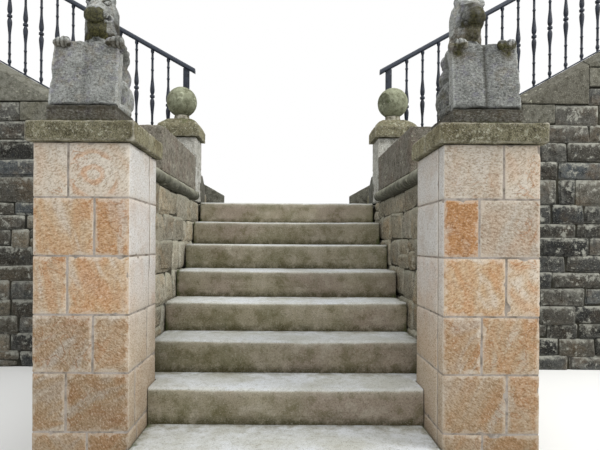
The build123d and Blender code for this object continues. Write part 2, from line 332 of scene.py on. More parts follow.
class Finish(Recipe):
    """The recipe of one material."""

    def __init__(self, name):
        self.material = bpy.data.materials.new(name)
        self.material.use_nodes = True
        super().__init__(self.material.node_tree)
        self.place = self.node("TexCoord").outputs["Object"]

    def complete(self, colour, roughness, specular, heights):
        """Colour, roughness and bump layers, each a height with its depth in metres."""
        shader = self.tree.nodes["Principled BSDF"].inputs
        self.tree.links.new(colour, shader["Base Color"])
        self.tree.links.new(roughness, shader["Roughness"])
        shader["Specular IOR Level"].default_value = specular
        normal = {}
        for height, depth in heights:
            inputs = {"Height": height, "Distance": depth, "Strength": 1.0, **normal}
            normal = {"Normal": self.node("Bump", inputs).outputs[0]}
        self.tree.links.new(normal["Normal"], shader["Normal"])
        return self.material


def weathered_stone(
    name, pale, deep, odd, grain=70.0, depth=0.0016, light_range=(0.78, 1.15), pits=0.5,
    moss=0.3, upward=0.6, lichen=0.4, lichen_size=70.0, lichen_colour=shade(176, 176, 158),
    streaks=0.3, streak_colour=shade(64, 62, 52), wear=0.4, wear_colour=shade(176, 172, 158),
    speckle=0.35, mottle=0.5, side_painted_light=1.0, top_light_and_foot_shade=0.0,
):
    """Weathered stone in three colours, with grain, streaks, lichen, moss and rubbed edges, and where asked
    painted light on the top and painted shade at the foot of each stone.
    """
    recipe = Finish(name)
    tones = recipe.group(tone_group)
    colour = recipe.mix(tones["Hue"], pale, deep)
    clouds = recipe.noise(5.0, 5.0, 0.6)
    colour = recipe.cover(colour, clouds, 0.45, 0.72, mottle, odd)
    blotches = recipe.noise(26.0, 5.0, 0.6)
    darker = recipe.tint(colour, shade(150, 146, 134))
    colour = recipe.cover(colour, blotches, 0.42, 0.70, 0.75, darker)
    light = recipe.span(tones["Light"], 0.0, 1.0, light_range[0], light_range[1])
    colour = recipe.brighten(colour, light)
    # Faces turned to either side are made brighter: painted light on the side faces
    gain = recipe.span(recipe.calc("ABSOLUTE", recipe.facing(0)), 0.5, 0.9, 1.0, side_painted_light)
    colour = recipe.brighten(colour, gain)
    flecks = recipe.noise(grain * 1.5, 4.0, 0.75)
    colour = recipe.cover(colour, flecks, 0.54, 0.70, speckle, recipe.tint(colour, shade(150, 146, 136)))
    colour = recipe.cover(colour, flecks, 0.46, 0.32, speckle, wear_colour)
    grained = recipe.group(grain_group, Size=grain, Pits=pits)
    specks = recipe.span(recipe.noise(320.0, 2.0, 0.7), 0.40, 0.66, 0.0, speckle)
    colour = recipe.mix(specks, colour, recipe.tint(colour, shade(120, 116, 106)))
    colour = recipe.film(colour, grained["Pit"], 0.8, shade(44, 41, 36))
    streak = recipe.group(streak_group, Amount=streaks)["Mask"]
    colour = recipe.film(colour, streak, 0.5, streak_colour)
    rubbed = recipe.group(wear_group, Amount=wear)["Mask"]
    colour = recipe.film(colour, rubbed, wear, wear_colour)
    crust = recipe.group(lichen_group, Size=lichen_size, Amount=lichen)["Mask"]
    colour = recipe.film(colour, crust, 0.75, lichen_colour)
    if top_light_and_foot_shade:
        # Each stone paler at its top and darker at its foot: painted light from above and painted shade
        # under it
        level = recipe.plus(recipe.times(tones["Margin"], 0.40), recipe.noise(26.0, 5.0, 0.7))
        colour = recipe.cover(colour, level, 0.68, 0.90, top_light_and_foot_shade, lichen_colour)
        colour = recipe.cover(colour, level, 0.46, 0.30, 0.70, streak_colour)
    damp = recipe.plus(recipe.times(tones["Damp"], 0.55), moss)
    growth = recipe.group(moss_group, Amount=damp, Upward=upward)
    colour = recipe.film(colour, growth["Mask"], 0.85, growth["Colour"])
    crusted = recipe.plus(crust, growth["Mask"])
    roughness = recipe.span(blotches, 0.3, 0.7, 0.80, 0.95)
    return recipe.complete(colour, roughness, 0.25, [
        (recipe.noise(24.0, 4.0, 0.55), depth * 2.0),
        (grained["Height"], depth),
        (crusted, 0.0008),
    ])


# Where the ringed vein in the top course of the left front pier lies: across and up
swirl_place = (-0.790, 1.275)


def pier_sandstone():
    """Cream to orange sandstone in broad wavy bands, finely pecked inside drawn margins."""
    recipe = Finish("pier_sandstone")
    tones = recipe.group(tone_group)
    cream = shade(198, 188, 173)
    gold = shade(192, 166, 134)
    orange = shade(188, 141, 96)
    base = recipe.mix(recipe.span(tones["Hue"], 0.0, 0.5), cream, gold)
    base = recipe.mix(recipe.span(tones["Hue"], 0.5, 1.0), base, orange)

    # Bands and veins run a different way in each stone
    turn = recipe.times(recipe.less(tones["Light"], 0.5), 4.0)
    turning = {"Vector": recipe.place, "Angle": turn}
    turned = recipe.node("VectorRotate", turning, rotation_type="Y_AXIS").outputs[0]
    own = recipe.times(recipe.plus(tones["Hue"], tones["Light"]), 7.0)
    shifted = recipe.node("VectorMath", {0: turned, 1: own}, operation="ADD").outputs[0]
    bands = recipe.drawn_noise((9.0, 4.0, 3.4), 2.0, 0.5, 1.4, place=shifted)
    warm = recipe.span(bands, 0.44, 0.68, 0.0, 0.75)
    warm = recipe.times(warm, recipe.span(tones["Hue"], 0.0, 0.6, 0.30, 1.0))
    base = recipe.mix(warm, base, shade(190, 145, 103))
    pale = recipe.span(bands, 0.50, 0.30, 0.0, 0.62)
    base = recipe.mix(pale, base, shade(206, 199, 188))
    pink = recipe.span(recipe.noise(5.5, 3.0, 0.5), 0.50, 0.70, 0.0, 0.25)
    base = recipe.mix(pink, base, shade(184, 156, 140))
    curls = recipe.noise(8.0, 2.0, 0.4, 2.6, shifted)
    edge = recipe.calc("ABSOLUTE", recipe.less(curls, 0.5))
    veined = recipe.span(recipe.noise(4.0, place=shifted), 0.46, 0.58)
    vein = recipe.times(recipe.span(edge, 0.040, 0.004), veined)
    base = recipe.film(base, vein, 0.60, shade(172, 122, 80))
    across, _, level = recipe.node("SeparateXYZ", {0: recipe.place}).outputs
    from_swirl = recipe.node("CombineXYZ", {
        0: recipe.less(across, swirl_place[0]),
        1: 0.0,
        2: recipe.less(level, swirl_place[1]),
    }).outputs[0]
    rings = recipe.node(
        "TexWave",
        {"Vector": from_swirl, "Scale": 4.6, "Distortion": 3.4, "Detail": 2.0, "Detail Scale": 1.8},
        wave_type="RINGS", rings_direction="Y",
    ).outputs["Fac"]
    swirl = recipe.times(recipe.span(rings, 0.55, 0.95), recipe.span(tones["Hue"], 0.16, 0.10))
    swirl = recipe.times(swirl, recipe.span(recipe.noise(9.0), 0.34, 0.56, 0.0, 0.62))
    flat_reach = recipe.node("VectorMath", {0: from_swirl}, operation="LENGTH").outputs["Value"]
    swirl = recipe.times(swirl, recipe.span(flat_reach, 0.125, 0.085))
    base = recipe.mix(swirl, base, shade(186, 138, 96))
    light = recipe.span(tones["Light"], 0.0, 1.0, 0.50, 1.24)
    base = recipe.brighten(base, light)

    # The faces beside the flight are painted pale: bleached stone and painted light on the side faces,
    # warmer and darker lower down where painted shadow falls
    bleached_and_lit = recipe.span(recipe.calc("ABSOLUTE", recipe.facing(0)), 0.5, 0.9)
    pale_side = recipe.mix(recipe.span(level, 0.95, 0.50), shade(221, 222, 222), shade(204, 190, 171))
    patchy = recipe.span(recipe.noise(7.0, 4.0, 0.6), 0.40, 0.66, 0.88, 0.60)
    base = recipe.film(base, bleached_and_lit, patchy, pale_side)

    # Fine pecks and short chisel strokes, and margins that are paler and smoother
    strokes = recipe.drawn_noise((85.0, 150.0, 190.0), 3.0, 0.6, turn=(0.0, 0.5, 0.0), place=turned)
    pecks = recipe.noise(120.0, 4.0, 0.75)
    grit = recipe.noise(260.0, 3.0, 0.65)
    ragged = recipe.span(recipe.noise(24.0, 4.0, 0.65), 0.30, 0.70, -0.35, 0.55)
    inner = recipe.span(recipe.plus(tones["Margin"], ragged), 0.15, 0.80)
    marks = recipe.times(recipe.span(strokes, 0.54, 0.36), recipe.span(inner, 0.0, 1.0, 0.35, 1.0))
    base = recipe.film(base, marks, 0.66, recipe.tint(base, shade(188, 174, 156)))
    base = recipe.cover(base, strokes, 0.56, 0.70, 0.30, shade(220, 209, 192))
    base = recipe.mix(recipe.span(inner, 0.0, 1.0, 0.42, 0.0), base, shade(206, 196, 182))
    base = recipe.cover(base, pecks, 0.53, 0.67, 0.62, recipe.tint(base, shade(180, 160, 138)))
    base = recipe.cover(base, pecks, 0.46, 0.33, 0.42, shade(226, 216, 200))
    specks = recipe.span(grit, 0.60, 0.72, 0.0, 0.50)
    base = recipe.mix(specks, base, shade(126, 102, 80))

    # Stains near the ground, where the stone draws water
    low = recipe.span(recipe.plus(level, recipe.noise(4.0, 4.0, 0.6)), 1.20, 0.50)
    base = recipe.film(base, low, 0.35, shade(122, 104, 78))
    damp = recipe.times(tones["Damp"], 0.8)
    growth = recipe.group(moss_group, Amount=damp, Upward=0.2)
    base = recipe.film(base, growth["Mask"], 0.8, growth["Colour"])
    roughness = recipe.span(strokes, 0.3, 0.7, 0.95, 0.82)
    return recipe.complete(base, roughness, 0.2, [
        (recipe.times(strokes, recipe.span(inner, 0.0, 1.0, 0.30, 1.0)), 0.0016),
        (pecks, 0.0016),
        (grit, 0.0006),
    ])


def step_stone(name):
    """Worn step stone: pale treads, olive risers, dark dirt along the joints and a pale nosing that is
    partly painted highlight.
    """
    recipe = Finish(name)
    tones = recipe.group(tone_group)
    upward = recipe.facing(2)
    clouds = recipe.noise(3.5, 6.0, 0.65)
    riser = recipe.mix(recipe.span(clouds, 0.35, 0.66), shade(152, 144, 124), shade(118, 114, 90))
    warm = recipe.noise(1.6, 3.0, 0.5)
    riser = recipe.cover(riser, warm, 0.45, 0.62, 0.75, shade(150, 136, 124))
    blotches = recipe.noise(11.0, 5.0, 0.65)
    riser = recipe.cover(riser, blotches, 0.50, 0.64, 0.62, shade(100, 94, 66))
    riser = recipe.cover(riser, blotches, 0.47, 0.34, 0.60, shade(168, 160, 144))
    bedding = recipe.drawn_noise((3.0, 3.0, 42.0), 5.0, 0.6)
    riser = recipe.cover(riser, bedding, 0.52, 0.76, 0.35, shade(96, 90, 68))
    streak = recipe.group(streak_group, Amount=0.45)["Mask"]
    riser = recipe.film(riser, streak, 0.30, shade(92, 90, 66))
    # The riser is paler towards the nosing: painted light
    riser = recipe.film(riser, tones["Margin"], 0.45, shade(168, 164, 146))
    ragged = recipe.span(recipe.noise(22.0, 4.0, 0.6), 0.30, 0.60, 0.55, 1.0)
    stain = recipe.times(tones["Hue"], ragged)
    riser = recipe.cover(riser, stain, 0.10, 0.95, 0.85, shade(66, 63, 42))

    tread = recipe.mix(recipe.span(clouds, 0.35, 0.66), shade(200, 204, 207), shade(176, 177, 170))
    worn = recipe.span(tones["Hue"], 0.0, 0.85)
    dirt = recipe.times(recipe.span(recipe.noise(14.0, 6.0, 0.7), 0.38, 0.66), worn)
    tread = recipe.film(tread, dirt, 0.75, shade(118, 114, 94))
    patches = recipe.span(recipe.noise(30.0, 5.0, 0.7), 0.50, 0.66, 0.0, 0.45)
    tread = recipe.mix(patches, tread, shade(146, 144, 130))
    tread = recipe.cover(tread, tones["Hue"], 0.86, 1.0, 0.8, shade(78, 74, 56))
    top = recipe.span(upward, 0.25, 0.85)
    colour = recipe.mix(top, riser, tread)

    # The front arris is painted pale: rubbed wear, and a painted highlight along the rounded nosing
    near = recipe.times(tones["Margin"], recipe.span(upward, -0.1, 0.3))
    patchy = recipe.span(recipe.noise(10.0, 5.0, 0.65), 0.32, 0.62)
    colour = recipe.film(colour, near, recipe.times(patchy, 0.55), shade(192, 191, 181))
    flecks = recipe.noise(130.0, 4.0, 0.75)
    colour = recipe.cover(colour, flecks, 0.53, 0.68, 0.65, recipe.tint(colour, shade(160, 154, 136)))
    colour = recipe.cover(colour, flecks, 0.46, 0.33, 0.25, shade(204, 200, 188))
    light = recipe.span(tones["Light"], 0.0, 1.0, 0.86, 1.10)
    colour = recipe.brighten(colour, light)
    grained = recipe.group(grain_group, Size=90.0, Pits=0.5)
    specks = recipe.span(recipe.noise(300.0, 2.0, 0.7), 0.50, 0.68, 0.0, 0.4)
    colour = recipe.mix(specks, colour, recipe.tint(colour, shade(130, 124, 108)))
    colour = recipe.film(colour, grained["Pit"], 0.55, shade(54, 50, 38))
    damp = recipe.times(tones["Damp"], 0.95)
    growth = recipe.group(moss_group, Amount=damp, Upward=0.1)
    colour = recipe.film(colour, growth["Mask"], 0.9, growth["Colour"])
    roughness = recipe.span(clouds, 0.3, 0.7, 0.78, 0.93)
    return recipe.complete(colour, roughness, 0.25, [
        (recipe.noise(18.0, 5.0, 0.6), 0.0035),
        (grained["Height"], 0.0014),
    ])


def carved_stone():
    """Grey carved stone under lichen, with moss, dirt and painted shade where the points say so."""
    recipe = Finish("carved_stone")
    tones = recipe.group(tone_group)
    clouds = recipe.noise(9.0, 5.0, 0.6)
    colour = recipe.mix(recipe.span(clouds, 0.35, 0.68), shade(150, 152, 149), shade(122, 124, 121))
    warm = recipe.noise(14.0, 5.0, 0.65)
    colour = recipe.cover(colour, warm, 0.50, 0.66, 0.55, shade(136, 126, 110))
    cool = recipe.noise(21.0, 5.0, 0.65)
    colour = recipe.cover(colour, cool, 0.52, 0.66, 0.65, shade(124, 122, 136))
    bright = recipe.span(tones["Light"], 0.0, 1.0, 0.50, 1.35)
    colour = recipe.brighten(colour, bright)
    brown = recipe.tint(colour, shade(204, 178, 142))
    colour = recipe.film(colour, tones["Damp"], 0.9, brown)
    mottles = recipe.noise(100.0, 5.0, 0.75)
    darker = recipe.tint(colour, shade(136, 132, 120))
    colour = recipe.cover(colour, mottles, 0.50, 0.66, 0.42, shade(182, 184, 177))
    colour = recipe.cover(colour, mottles, 0.49, 0.34, 0.72, darker)
    strokes = recipe.drawn_noise((75.0, 90.0, 170.0), 4.0, 0.7, turn=(0.0, 0.45, 0.0))
    colour = recipe.cover(colour, strokes, 0.52, 0.64, 0.66, darker)
    colour = recipe.cover(colour, strokes, 0.47, 0.34, 0.40, shade(182, 183, 176))
    grained = recipe.group(grain_group, Size=110.0, Pits=1.0)
    granules = recipe.noise(240.0, 3.0, 0.75)
    colour = recipe.cover(colour, granules, 0.56, 0.68, 0.35, shade(184, 188, 184))
    colour = recipe.cover(colour, granules, 0.46, 0.34, 0.50, shade(76, 76, 68))
    crust = recipe.group(lichen_group, Size=95.0, Amount=0.6)["Mask"]
    colour = recipe.film(colour, crust, 0.20, shade(172, 176, 166))
    rubbed = recipe.group(wear_group, Amount=0.8)["Mask"]
    colour = recipe.film(colour, rubbed, 0.40, shade(180, 184, 180))
    colour = recipe.film(colour, grained["Pit"], 0.7, shade(54, 53, 46))
    # The points' dark share: painted shade in cuts, grooves, gaps, under the chin and under the book's lip,
    # and the darkness of dirt and moss
    dirt_and_painted_shade = recipe.span(tones["Margin"], 0.05, 1.0)
    ragged = recipe.times(recipe.noise(60.0, 4.0, 0.6), 0.5)
    dirt_and_painted_shade = recipe.times(dirt_and_painted_shade, recipe.plus(ragged, 0.75))
    colour = recipe.mix(recipe.calc("MINIMUM", dirt_and_painted_shade, 0.95), colour, shade(46, 43, 34))
    tufts = recipe.noise(110.0, 4.0, 0.75)
    moss = recipe.mix(recipe.span(tufts, 0.36, 0.66), shade(38, 37, 24), shade(88, 86, 56))
    edge = recipe.plus(tones["Hue"], ragged)
    colour = recipe.film(colour, recipe.span(edge, 0.45, 1.05), 0.90, moss)
    roughness = recipe.span(granules, 0.3, 0.7, 0.82, 0.96)
    return recipe.complete(colour, roughness, 0.2, [
        (recipe.noise(45.0, 4.0, 0.6), 0.0040),
        (mottles, 0.0024),
        (grained["Height"], 0.0016),
        (granules, 0.0010),
    ])


def painted_iron():
    """Blue-black paint on iron, with dull and rusty places."""
    recipe = Finish("painted_iron")
    clouds = recipe.noise(30.0, 4.0, 0.6)
    colour = recipe.mix(recipe.span(clouds, 0.4, 0.68), shade(27, 34, 46), shade(14, 18, 25))
    rust = recipe.span(recipe.noise(70.0, 5.0, 0.7), 0.68, 0.76, 0.0, 0.5)
    colour = recipe.mix(rust, colour, shade(84, 58, 44))
    rubbed = recipe.group(wear_group, Amount=0.5)["Mask"]
    colour = recipe.film(colour, rubbed, 0.30, shade(66, 74, 86))
    roughness = recipe.span(clouds, 0.3, 0.7, 0.48, 0.68)
    return recipe.complete(colour, roughness, 0.35, [(recipe.noise(160.0, 3.0, 0.6), 0.0004)])


finishes = {
    "pier": pier_sandstone(),
    "step": step_stone("step_stone"),
    "side_step": step_stone("side_step_stone"),
    "carved": carved_stone(),
    "iron": painted_iron(),
    "mortar": weathered_stone(
        "lime_mortar", shade(84, 79, 66), shade(70, 66, 54), shade(60, 57, 44),
        grain=150.0, lichen=0.1, moss=0.20, wear=0.0, streaks=0.5,
    ),
    "pointing": weathered_stone(
        "grey_pointing", shade(176, 168, 160), shade(166, 156, 146), shade(146, 132, 116),
        grain=150.0, lichen=0.0, moss=0.05, wear=0.0, streaks=0.2, mottle=0.6, speckle=0.2,
    ),
    "dark_mortar": weathered_stone(
        "dark_mortar", shade(50, 49, 42), shade(40, 40, 35), shade(64, 60, 46),
        grain=110.0, depth=0.0030, lichen=0.35, lichen_size=60.0, moss=0.25, wear=0.0, streaks=0.6,
        mottle=0.9, speckle=0.1, lichen_colour=shade(120, 120, 106), wear_colour=shade(84, 82, 70),
    ),
    "cap": weathered_stone(
        "weathered_cap_stone", shade(136, 131, 106), shade(120, 117, 95), shade(98, 90, 64),
        grain=80.0, depth=0.0026, moss=0.36, upward=0.8, lichen=0.8, lichen_size=110.0,
        lichen_colour=shade(172, 172, 152), streaks=0.30, streak_colour=shade(72, 66, 46),
        wear=0.9, pits=1.0, speckle=1.0, side_painted_light=1.5, mottle=0.8,
    ),
    "string": weathered_stone(
        "mossy_string_stone", shade(142, 142, 130), shade(120, 120, 104), shade(92, 92, 70),
        moss=0.30, upward=0.1, lichen=0.6, streaks=0.4, wear=0.7, light_range=(0.50, 1.45),
        speckle=0.5,
    ),
    "parapet": weathered_stone(
        "streaked_parapet_stone", shade(156, 150, 138), shade(132, 128, 118), shade(142, 118, 104),
        depth=0.0036, moss=0.36, upward=0.7, lichen=0.7, lichen_size=90.0, streaks=0.35,
        streak_colour=shade(76, 72, 62), speckle=1.0,
    ),
    "rear": weathered_stone(
        "rear_pier_stone", shade(206, 207, 202), shade(192, 190, 182), shade(178, 172, 158),
        grain=80.0, moss=0.12, lichen=0.5, streaks=0.1, streak_colour=shade(126, 122, 110),
        light_range=(1.02, 1.18), speckle=0.9, side_painted_light=1.10, wear_colour=shade(232, 232, 228),
        lichen_colour=shade(150, 150, 134),
    ),
    "ball": weathered_stone(
        "ball_stone", shade(150, 154, 130), shade(134, 138, 114), shade(114, 112, 88),
        grain=90.0, moss=0.26, upward=0.3, lichen=0.7, lichen_size=60.0, streaks=0.4, wear=0.2, speckle=0.5,
        lichen_colour=shade(176, 180, 156),
    ),
    "rubble": weathered_stone(
        "rubble_stone", shade(194, 189, 174), shade(172, 163, 142), shade(186, 152, 106),
        grain=60.0, depth=0.0040, moss=0.26, lichen=0.6, lichen_size=90.0, streaks=0.0,
        light_range=(0.76, 1.34), pits=1.0, mottle=0.55, speckle=1.0, top_light_and_foot_shade=0.45,
        wear_colour=shade(212, 210, 196), streak_colour=shade(84, 80, 60),
    ),
    "dark_rubble": weathered_stone(
        "dark_rubble_stone", shade(124, 116, 100), shade(60, 66, 71), shade(126, 104, 76),
        grain=60.0, depth=0.0044, moss=0.26, lichen=0.80, lichen_size=34.0,
        lichen_colour=shade(158, 158, 148), streaks=0.2, light_range=(0.30, 1.90), pits=0.9,
        streak_colour=shade(36, 39, 41), mottle=0.45, speckle=1.0, wear_colour=shade(140, 140, 132),
        top_light_and_foot_shade=0.75,
    ),
    "coping": weathered_stone(
        "coping_stone", shade(112, 112, 103), shade(101, 99, 89), shade(90, 88, 72),
        moss=0.22, upward=0.3, lichen=0.5, streaks=0.35, light_range=(0.88, 1.24), speckle=0.6,
    ),
}


# Shaping stones

chip_depth = 0.014

def block(low, high):
    """A sharp block between two corners."""
    shape = bmesh.new()
    bmesh.ops.create_cube(shape, size=1)
    bmesh.ops.scale(shape, vec=high - low, verts=shape.verts)
    bmesh.ops.translate(shape, vec=(low + high) / 2, verts=shape.verts)
    return shape


def round_edges(shape, edges, offset, segments=2):
    """Rounds edges over a width to both sides."""
    bmesh.ops.bevel(
        shape, geom=edges, offset=offset, segments=segments, profile=0.5, affect="EDGES", material=-1
    )


def cut_edges(shape, edges, cuts):
    """Cuts edges, and the faces between them, into equal parts."""
    bmesh.ops.subdivide_edges(shape, edges=edges, cuts=cuts, use_grid_fill=True)


def cut_long_edges(shape, limit, cuts):
    """Cuts the edges that are longer than a limit."""
    cut_edges(shape, [edge for edge in shape.edges if edge.calc_length() > limit], cuts)


def cut_wide_faces(shape):
    """Leaves no face with more than four corners."""
    bmesh.ops.triangulate(shape, faces=[face for face in shape.faces if len(face.verts) > 4])


def smoothed(shape, factor):
    """Evens out every point between its neighbours."""
    bmesh.ops.smooth_vert(
        shape, verts=shape.verts, factor=factor, use_axis_x=True, use_axis_y=True, use_axis_z=True
    )


def push_out(shape, face):
    """Draws a face out without moving it: the new face and its points."""
    made = bmesh.ops.extrude_face_region(shape, geom=[face])["geom"]
    verts = [each for each in made if isinstance(each, bmesh.types.BMVert)]
    return next(each for each in made if isinstance(each, bmesh.types.BMFace)), verts


def box_stone(low, high, arris, spacing, segments=2):
    """A squared stone with rounded arrises, cut into a net of faces."""
    shape = block(low, high)
    round_edges(shape, shape.edges[:], arris, segments)
    net(shape, high - low, spacing, arris)
    return shape


def net(shape, size, spacing, arris):
    """Cuts the long edges along each axis into equal lengths."""
    for axis in range(3):
        cuts = int(size[axis] / spacing)
        runs = [
            edge for edge in shape.edges
            if abs(edge.verts[0].co[axis] - edge.verts[1].co[axis]) > size[axis] - 2.4 * arris
        ]
        if cuts and runs:
            cut_edges(shape, runs, cuts)


def tone_layer(shape):
    """The layer that carries each point's tones, made if it is missing."""
    layers = shape.verts.layers.float_color
    return layers.get("tone") or layers.new("tone")


def tone_points(shape, low, high, light, hue, margin_width=0.03, damp=0.0):
    """Gives each point the stone's lightness and hue, and how far it is from an arris."""
    layer = tone_layer(shape)
    for vert in shape.verts:
        gaps = sorted(
            min(abs(vert.co[axis] - low[axis]), abs(high[axis] - vert.co[axis])) for axis in range(3)
        )
        vert[layer] = (light, hue, min(gaps[1] / margin_width, 1.0), damp)


def roughen(shape, depth, size, seed, inward=False):
    """Pushes each point in or out by noise of one grain size and a finer one."""
    shape.normal_update()
    shift = Vector((seed * 7.31, seed * 3.17, seed * 5.71))
    for vert in shape.verts:
        place = vert.co / size + shift
        push = noise.noise(place) + 0.45 * noise.noise(place * 2.6)
        if inward:
            push = push - 0.8
        vert.co += vert.normal * depth * push


def fade(distance, reach):
    """1 at no distance, falling evenly to 0 at the reach."""
    return max(1.0 - distance / reach, 0.0)


def chipped(place, least):
    """How far the noise at a place goes above a least value."""
    return max(noise.noise(place) - least, 0.0)


def keep_within(shape, low, high):
    """Holds every point inside a box."""
    for vert in shape.verts:
        for axis in range(3):
            vert.co[axis] = clamp(vert.co[axis], low[axis], high[axis])


def join(target, part):
    """Adds a part's shape to a bigger one."""
    mesh = bpy.data.meshes.new("part")
    part.to_mesh(mesh)
    part.free()
    target.from_mesh(mesh)
    bpy.data.meshes.remove(mesh)


def new_shape():
    """An empty shape whose points carry tones."""
    shape = bmesh.new()
    tone_layer(shape)
    return shape


def finish_piece(name, shape, finish, nodes=(), turned=False, sharp=38):
    """Makes a shape into a piece of the stair that stands for the given CAD nodes."""
    if turned:
        bmesh.ops.scale(shape, vec=(-1, 1, 1), verts=shape.verts)
    bmesh.ops.recalc_face_normals(shape, faces=shape.faces)
    mesh = bpy.data.meshes.new(name)
    shape.to_mesh(mesh)
    shape.free()
    mesh.shade_smooth()
    mesh.set_sharp_from_angle(angle=math.radians(sharp))
    mesh.materials.append(finishes[finish])
    piece = new_object(name, mesh)
    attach(piece, "root")
    if nodes:
        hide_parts(*nodes)


def finish_side(side, label, shape, finish, node=None, sharp=38):
    """Makes a shape of one side into a piece, mirrored on the left."""
    nodes = (f"{side}_{node}",) if node else ()
    finish_piece(f"{side}_{label}", shape, finish, nodes, side == "left", sharp)


# Coursed rubble

rubble_depth = 0.07
rubble_hang = 0.022
rubble_wander = 0.028
rubble_grain = 8.0
split_height = 0.12
split_length = 0.24
split_chance = 0.22


def rubble_stone(low, high, outward, draw, rounding, bulge):
    """A roughly squared stone with a swollen face and worn, wandering edges."""
    size = high - low
    short = min(size)
    shape = block(low, high)
    round_edges(shape, shape.edges[:], min(draw.uniform(*rounding), short * 0.36))
    shape.normal_update()
    face = max(shape.faces, key=lambda each: each.normal.dot(outward) * each.calc_area())
    bmesh.ops.inset_region(shape, faces=[face], thickness=short * draw.uniform(0.10, 0.2), depth=0)
    bmesh.ops.translate(shape, vec=outward * draw.uniform(0.3, 1.0) * bulge, verts=face.verts)
    cut_edges(shape, face.edges[:], cuts=1)
    shift = Vector((draw.uniform(0, 90), draw.uniform(0, 90), draw.uniform(0, 90)))
    for vert in shape.verts:
        place = vert.co * rubble_grain + shift
        vert.co += noise.noise_vector(place) * min(rubble_wander, short * 0.25)
        vert.co += noise.noise_vector(place * 2.9) * 0.004
    tone_points(shape, low, high, draw.random(), draw.random() ** 0.8)
    # The margin channel carries the height within the stone, for painted light on its top and painted shade
    # at its foot
    layer = tone_layer(shape)
    for vert in shape.verts:
        light, hue, _, damp = vert[layer]
        vert[layer] = (light, hue, clamp((vert.co.z - low.z) / size.z * 2.0 - 1.0), damp)
    return shape


def shift_tones(shape, light_share, light_rise, hue_rise):
    """Makes the stones of a shape lighter or darker, and moves them towards their deeper colour."""
    layer = tone_layer(shape)
    for vert in shape.verts:
        light, hue, margin, damp = vert[layer]
        vert[layer] = (light * light_share + light_rise, hue + (1.0 - hue) * hue_rise, margin, damp)


def wall_box(face, start, stop, depth, z_low, z_high, set_back=0.0):
    """Corners of a block behind a wall's face, from one place along it to another."""
    origin, along, inward = face
    first = origin + along * start + inward * set_back + up * z_low
    second = origin + along * stop + inward * depth + up * z_high
    return Vector(map(min, first, second)), Vector(map(max, first, second))


def lay_course(
    shape, face, start, stop, z_low, z_high, draw, lengths=(0.14, 0.42), depth=rubble_depth, gap=joint,
    set_back=0.013, rounding=(0.016, 0.042),
):
    """One course of rubble stones along a wall's face."""
    outward = -face[2]
    lowest = max(z_low - rubble_hang, 0.0)
    plane_low, plane_high = wall_box(face, start, stop, depth + 0.02, lowest, z_high)
    place = start
    while place < stop - 0.02:
        length = draw.uniform(*lengths)
        if stop - place - length < lengths[0] * 0.7:
            length = stop - place
        parts = [(z_low, z_high)]
        if z_high - z_low > split_height and length < split_length and draw.random() < split_chance:
            middle = z_low + (z_high - z_low) * draw.uniform(0.4, 0.6)
            parts = [(z_low, middle), (middle, z_high)]
        for foot, head in parts:
            low_z = foot - draw.uniform(0.0, rubble_hang)
            high_z = head - draw.uniform(0.0, joint)
            behind = set_back * draw.uniform(0.8, 1.7)
            low, high = wall_box(
                face, place + gap / 2, place + length - gap / 2, depth, low_z, high_z, behind
            )
            stone = rubble_stone(low, high, outward, draw, rounding, set_back * 0.8)
            keep_within(stone, plane_low, plane_high)
            join(shape, stone)
        place += length


def mortar_block(low, high, spacing=0.2):
    """The mortar and hearting behind the stones."""
    shape = box_stone(low, high, arris=0.004, spacing=spacing, segments=1)
    tone_points(shape, low, high, light=0.5, hue=0.5)
    return shape


def courses_between(low, high, draw, least, most):
    """The foot and head of each course between two levels."""
    levels = [low]
    while high - levels[-1] > most * 1.3:
        levels.append(levels[-1] + draw.uniform(least, most))
    if high - levels[-1] > most:
        levels.append((levels[-1] + high) / 2)
    levels.append(high)
    return list(zip(levels, levels[1:]))


# Central flight

nosing_radius = 0.017
side_nosing_radius = 0.015
step_spacing = 0.018
side_step_spacing = 0.026
dishing = 0.005
rubbed_and_highlight_reach = 0.05
stain_height = 0.060
end_stain_width = 0.06
tread_depth = 0.03
back_damp_width = 0.05
back_dirt_width = 0.02
hollow_depth = 0.06
landing_bed = 0.012

# Lightness of the steps, from the lowest up
step_lights = (0.5, 0.45, 0.70, 0.46, 0.85, 0.44, 0.52, 0.36, 0.70)


